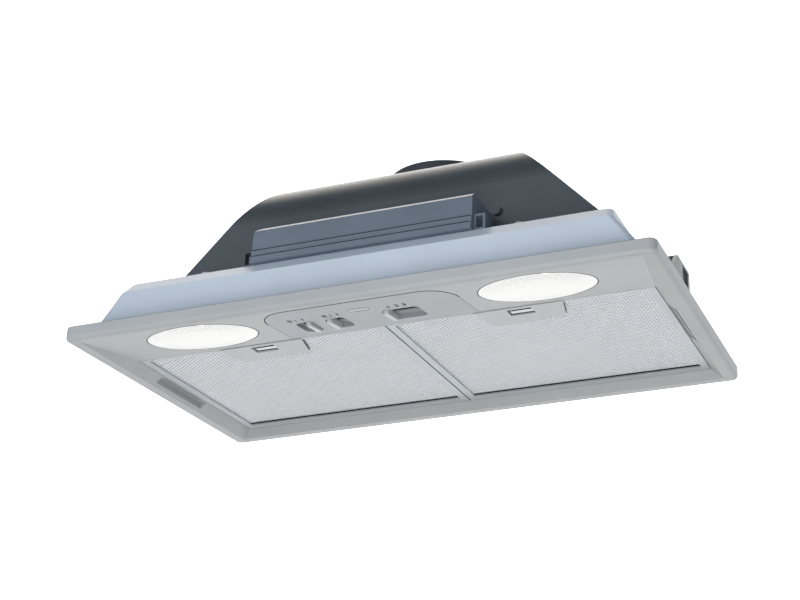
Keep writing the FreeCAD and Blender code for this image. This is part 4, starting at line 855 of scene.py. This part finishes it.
@dataclass
class Filters:
    """Grease filters: rolled frame, crossed strands on both faces of the pad, handle plate and latch."""

    # The photo's cells have a pitch of 2.6; drawn slightly coarser so that they show at its size
    pitch: float = 3.0
    strand: float = 1.25
    strand_angle: float = 20.0
    thick: float = 0.5
    layer_gap: float = 0.2
    slants: Pair = (-35.5, 35.5)
    # Dark edge of the pad at its rear and one side: painted shade
    edge_level: float = 9.4
    edge_thick: float = 0.35
    edge_rear: float = 5.0
    edge_side: float = 1.6
    # Dark blocks of painted shade in the finger slot, in front of the latch's tongue and under its arm
    foam: tuple[tuple[Point, Point], ...] = (((109.2, -63.2, 10.6), (130.8, -55.9, 12.35)),
                                             ((110.4, -55.85, 9.5), (129.6, -55.5, 12.3)))
    plate: tuple[Pair, ...] = ((80.0, -65.5), (160.0, -65.5), (87.0, -34.5), (153.0, -34.5))
    plate_round: float = 7.0
    plate_cord: float = 0.55
    low: Point = (5.3, -63.0, 11.0)
    high: Point = (234.6, 121.4, 14.0)
    bay_sides: Pair = (106.0, 134.0)
    bay_rear: float = -43.5

    def build(self) -> None:
        """Both filters."""
        for side in Side:
            for name, finish in (("filter_frame_", FRAME_ALUMINIUM), ("filter_handle_", GRIP_ABS),
                                 ("filter_latch_", LATCH_HIGHLIGHT), ("filter_mesh_", MESH_PAINTED_SHADE)):
                dress_node(name + side.word, finish)
            self.strands(side)
            self.edges(side)

    @property
    def middle(self) -> float:
        """Middle of the right-hand filter across, in millimetres."""
        return (self.low[0] + self.high[0]) / 2

    def put(self, thing: Piece, side: Side) -> Piece:
        """Moves a piece of the right-hand filter to its own side."""
        if side is Side.LEFT:
            thing.location.x -= 2 * self.middle * MM
        return thing

    def fields(self) -> list[tuple[Point, Point]]:
        """Corners of the three fields round the handle's bay, on the right-hand filter.

        Returns:
            Lowest and highest corner of each field.
        """
        near, far = self.bay_sides
        return [(self.low, (near, self.high[1], self.high[2])), ((far, *self.low[1:]), self.high),
                ((near, self.bay_rear, self.low[2]), (far, *self.high[1:]))]

    def layer(self, angle: float, level: float, low: Point, high: Point) -> Piece:
        """One layer of parallel strands over one field.

        Args:
            angle: direction of its strands from +X, in degrees.
            level: height of the strands' lower faces in millimetres.
            low: lowest corner of the field.
            high: highest corner of the field.

        Returns:
            The layer, cut to the field's outline.
        """
        middle = [(a + b) / 2 for a, b in zip(self.low, self.high)]
        reach = math.hypot(self.high[0] - self.low[0], self.high[1] - self.low[1])
        strand = block("strand", (-reach / 2, -reach / 2, 0.0),
                       (reach / 2, self.strand - reach / 2, self.thick))
        apply_modifier(strand, "ARRAY", count=int(reach / self.pitch) + 1, use_relative_offset=False,
                       use_constant_offset=True, constant_offset_displace=(0.0, self.pitch * MM, 0.0))
        strand.rotation_euler = Euler((0.0, 0.0, math.radians(angle)))
        strand.location = (middle[0] * MM, middle[1] * MM, level * MM)
        settle(strand)
        for corner, sign in ((low, -1.0), (high, 1.0)):
            slice_off(strand, corner, (sign, 0.0, 0.0))
            slice_off(strand, corner, (0.0, sign, 0.0))
        return strand

    def edges(self, side: Side) -> None:
        """Dark painted shade: the pad's edge at the rear and on one side, blocks in the finger slot and under
        the latch's arm, and a cord round the handle plate.

        Args:
            side: which filter.
        """
        (left, front, _), (right, rear, _) = self.low, self.high
        top = self.edge_level + self.edge_thick
        bars = [block("edge", (left, rear - self.edge_rear, self.edge_level), (right, rear, top)),
                block("edge", (left, front, self.edge_level),
                      (left + self.edge_side, rear - self.edge_rear, top)),
                block("edge", *self.foam[0]),
                seam("edge", self.plate, (0.0, 0.0, self.plate_round, self.plate_round), self.edge_level,
                     self.plate_cord)]
        edge = self.put(join("pad_edge_" + side.word, bars), side)
        deliver(edge, "filter_" + side.word, PAINTED_SHADE_CORD)
        pad = self.put(block("tongue_pad_" + side.word, *self.foam[1]), side)
        deliver(pad, "latch_" + side.word, PAINTED_SHADE_CORD)

    def strands(self, side: Side) -> None:
        """Layers of one filter's mesh, on the front and on the back of the pad.

        Args:
            side: which filter.
        """
        levels = (self.low[2] - 2 * self.thick - self.layer_gap, self.high[2] + self.layer_gap)
        layers = [self.layer(angle, level + step * self.thick, low, high) for level in levels
                  for low, high in self.fields() for step, angle in enumerate(self.slants)]
        mesh = self.put(join("grease_strands_" + side.word, layers), side)
        deliver(mesh, "filter_" + side.word, MESH_ALUMINIUM, angle=self.strand_angle)


@dataclass
class Housing:
    """Moulded housing over the blower with the electrics box in front of it."""

    half: float = 100.4
    line_rear: float = -122.7
    # Front face and height of each shadow line under a step of the cover
    lines: tuple[Pair, ...] = ((-125.2, 62.7), (-124.0, 68.7))
    line_height: float = 0.55

    def build(self) -> None:
        """Dresses the housing, the box and what is in them, and adds the lines on the cover."""
        cords = [block("step_line", (-self.half, front, level),
                       (self.half, self.line_rear, level + self.line_height)) for front, level in self.lines]
        deliver(join("cover_step_lines", cords), "hood", PAINTED_SHADE_CORD)
        for name, finish in (("motor_housing", HOUSING_PP), ("electrics_box", BOX_PP),
                             ("electrics_box_cover", BOX_PP), ("box_clip_left", DARK_PP),
                             ("box_clip_right", BOX_PP), ("terminal_block", CREAM_PBT),
                             ("capacitor", CREAM_PBT), ("deck_screws", DRAWN_STEEL),
                             ("cable_gland", GLAND_RUBBER)):
            dress_node(name, finish)


@dataclass
class Blower:
    """Outlet, flaps, casing, wheel and motor."""

    def build(self) -> None:
        """Dresses every node of the air path."""
        for name, finish in (("outlet_collar", DARK_PP), ("flap_front", BLACK_ABS), ("flap_rear", BLACK_ABS),
                             ("flap_pin", DRAWN_STEEL), ("blower_casing_left", ZINC_SHEET),
                             ("blower_casing_right", ZINC_SHEET), ("impeller", BLACK_ABS),
                             ("motor", MOTOR_STEEL), ("motor_shaft", DRAWN_STEEL),
                             ("motor_bracket", ZINC_SHEET)):
            dress_node(name, finish)


@dataclass(frozen=True)
class SidePlate:
    """Thin plate beside a support, on the right-hand side; its inner edge leans in towards the top."""

    name: str
    low: Point
    high: Point
    lean: float
    slot: str
    finish: Finish


@dataclass
class Supports:
    """Sprung side plates on their pins."""

    edge_round: float = 0.2
    edge_segments: int = 2
    plates: tuple[SidePlate, ...] = (
        # The leaf spring behind each support is drawn black: painted shade seen through the support
        SidePlate("support_leaf_", (245.9, -26.0, 24.0), (246.5, 10.0, 52.0), 0.0, "clip_steel", BLACK_ABS),
        SidePlate("support_cheek_", (238.5, -28.6, 36.0), (248.8, -27.4, 52.4), 6.5, "support_plastic",
                  SUPPORT_POM),
    )

    def build(self) -> None:
        """Dresses both sides, with the leaf spring behind each support and the cheek in front of it."""
        for side in Side:
            dress_node("side_support_" + side.word, SUPPORT_POM)
            dress_node("side_support_pin_" + side.word, DRAWN_STEEL)
            for plate in self.plates:
                self.add(plate, side)

    def add(self, plate: SidePlate, side: Side) -> None:
        """Adds one thin plate that rides on a support.

        Args:
            plate: the plate.
            side: which side it is on.
        """
        hand = side.value
        inner, outer = sorted((hand * plate.low[0], hand * plate.high[0]))
        thing = block(plate.name + side.word, (inner, *plate.low[1:]), (outer, *plate.high[1:]))
        middle = [(a + b) / 2 * MM for a, b in zip(plate.low, plate.high)]
        for vertex in thing.data.vertices:
            if abs(vertex.co.x) < middle[0] and vertex.co.z < middle[2]:
                vertex.co.x += hand * plate.lean * MM
        soften(thing, self.edge_round, self.edge_segments)
        deliver(thing, "side_support_" + side.word, plate.finish)


@dataclass
class Softbox:
    """One soft area light: where it stands, what it points at, its side, power and colour."""

    name: str
    place: Point
    aim: Point
    size: float
    power: float
    colour: str = "FFFFFF"

    def build(self) -> None:
        """Adds the light."""
        data = bpy.data.lights.new(self.name, "AREA")
        data.energy = self.power
        data.size = self.size * MM
        data.color = linear(self.colour)[:3]
        lamp = bpy.data.objects.new(self.name, data)
        bpy.context.scene.collection.objects.link(lamp)
        lamp.location = [c * MM for c in self.place]
        lamp.rotation_euler = (Vector(self.aim) - Vector(self.place)).to_track_quat("-Z", "Y").to_euler()


@dataclass
class Studio:
    """White studio: camera at the photograph's angle, floor far below, soft lights."""

    sensor: float = 36.0
    lens: float = 66.362
    # Far end of what the camera sees, and the sides of the floor and of the backdrop, all in metres
    sight: float = 20.0
    floor_size: float = 12.0
    backdrop_size: float = 6.0
    shift: Pair = (-0.275, -0.0123)
    camera_at: Point = (515.7, -1120.7, -493.8)
    right: Point = (0.95722, 0.28848, -0.02233)
    down: Point = (-0.13967, 0.3931, -0.90882)
    ahead: Point = (-0.2534, 0.87307, 0.41658)
    floor_level: float = -1400.0
    # Height over the horizon from -1 to 1, and the colour seen there
    surround: tuple[tuple[float, str], ...] = ((-1.0, "6E6E6D"), (-0.45, "A2A4A5"), (-0.1, "E8EBEE"),
                                               (0.15, "F4F8FE"), (0.32, "EDF3FC"), (0.44, "3E4449"),
                                               (0.56, "202327"), (0.95, "34383C"))
    past_hood: str = "FFFFFF"
    backdrop_away: float = 4000.0
    softboxes: tuple[Softbox, ...] = field(default_factory=lambda: (
        Softbox("key softbox", (-800.0, -2200.0, 350.0), (0.0, 0.0, 60.0), 1200.0, 15.0, "EEF4FF"),
        Softbox("fill softbox", (400.0, -1200.0, -1200.0), (0.0, 0.0, 0.0), 1200.0, 20.0),
        Softbox("under softbox", (-450.0, 1150.0, -1050.0), (0.0, 0.0, 0.0), 1700.0, 1.2),
        Softbox("brow softbox", (-565.0, 560.0, 1290.0), (0.0, -40.0, 160.0), 1400.0, 10.0, "FFF3E6"),
    ))

    def build(self) -> None:
        """Camera, world, backdrop, floor and lights."""
        turn = self.camera()
        self.world()
        self.backdrop(turn)
        self.floor()
        for softbox in self.softboxes:
            softbox.build()

    def camera(self) -> Matrix:
        """Camera whose view was fitted to the photograph.

        Returns:
            The camera's turn.
        """
        data = bpy.data.cameras.new("camera")
        data.sensor_width = self.sensor
        data.lens = self.lens
        data.shift_x, data.shift_y = self.shift
        data.clip_end = self.sight
        camera = bpy.data.objects.new("camera", data)
        bpy.context.scene.collection.objects.link(camera)
        axes = (self.right, [-c for c in self.down], [-c for c in self.ahead])
        turn = Matrix([[axes[column][row] for column in range(3)] for row in range(3)]).to_4x4()
        camera.matrix_world = Matrix.Translation([c * MM for c in self.camera_at]) @ turn
        bpy.context.scene.camera = camera
        return turn

    def world(self) -> None:
        """Surroundings that light the hood, and plain white where the camera looks past it."""
        # Colours are shown as they are
        bpy.context.scene.view_settings.view_transform = "Standard"
        world = bpy.data.worlds.new("white studio")
        bpy.context.scene.world = world
        world.use_nodes = True
        tree = world.node_tree
        tree.nodes.clear()
        spot = add_node(tree, "TexCoord").outputs["Generated"]
        aim = add_node(tree, "SeparateXYZ", values={"Vector": spot})
        height = add_node(tree, "MapRange", values={"Value": aim.outputs["Z"], "From Min": -1.0})
        ramp = add_node(tree, "ValToRGB", values={"Fac": height.outputs["Result"]})
        elements = ramp.color_ramp.elements
        while len(elements) < len(self.surround):
            elements.new(1.0)
        for element, (level, colour) in zip(elements, self.surround):
            element.position = (level + 1.0) / 2
            element.color = linear(colour)
        light = add_node(tree, "Background", values={"Color": ramp.outputs["Color"]})
        white = add_node(tree, "Background", values={"Color": linear(self.past_hood)})
        seen = add_node(tree, "LightPath").outputs["Is Camera Ray"]
        shown = add_node(tree, "MixShader", values={
            0: seen, 1: light.outputs["Background"], 2: white.outputs["Background"]})
        add_node(tree, "OutputWorld", values={"Surface": shown.outputs["Shader"]})

    def backdrop(self, turn: Matrix) -> None:
        """Evenly lit white wall behind the hood, square to the camera.

        Args:
            turn: the camera's turn.
        """
        clear_selection()
        bpy.ops.mesh.primitive_plane_add(size=self.backdrop_size)
        wall = bpy.context.object
        wall.name = "studio_backdrop"
        centre = Vector(self.camera_at) + Vector(self.ahead) * self.backdrop_away
        wall.matrix_world = Matrix.Translation(centre * MM) @ turn
        wall.data.materials.append(WALL_LIT.make())

    def floor(self) -> None:
        """Pale floor far below the hood, which hangs as it does in a cabinet."""
        clear_selection()
        bpy.ops.mesh.primitive_plane_add(size=self.floor_size, location=(0.0, 0.0, self.floor_level * MM))
        floor = bpy.context.object
        floor.name = "studio_floor"
        floor.data.materials.append(FLOOR_VINYL.make())


def main() -> None:
    """Builds every sub-assembly in order."""
    logging.basicConfig(level=logging.INFO, format="%(message)s")
    for part in (Studio(), Canopy(), Controls(), Lamps(), Filters(), Housing(), Blower(), Supports()):
        part.build()
        LOG.info("built %s", type(part).__name__)


if __name__ == "__main__":
    main()
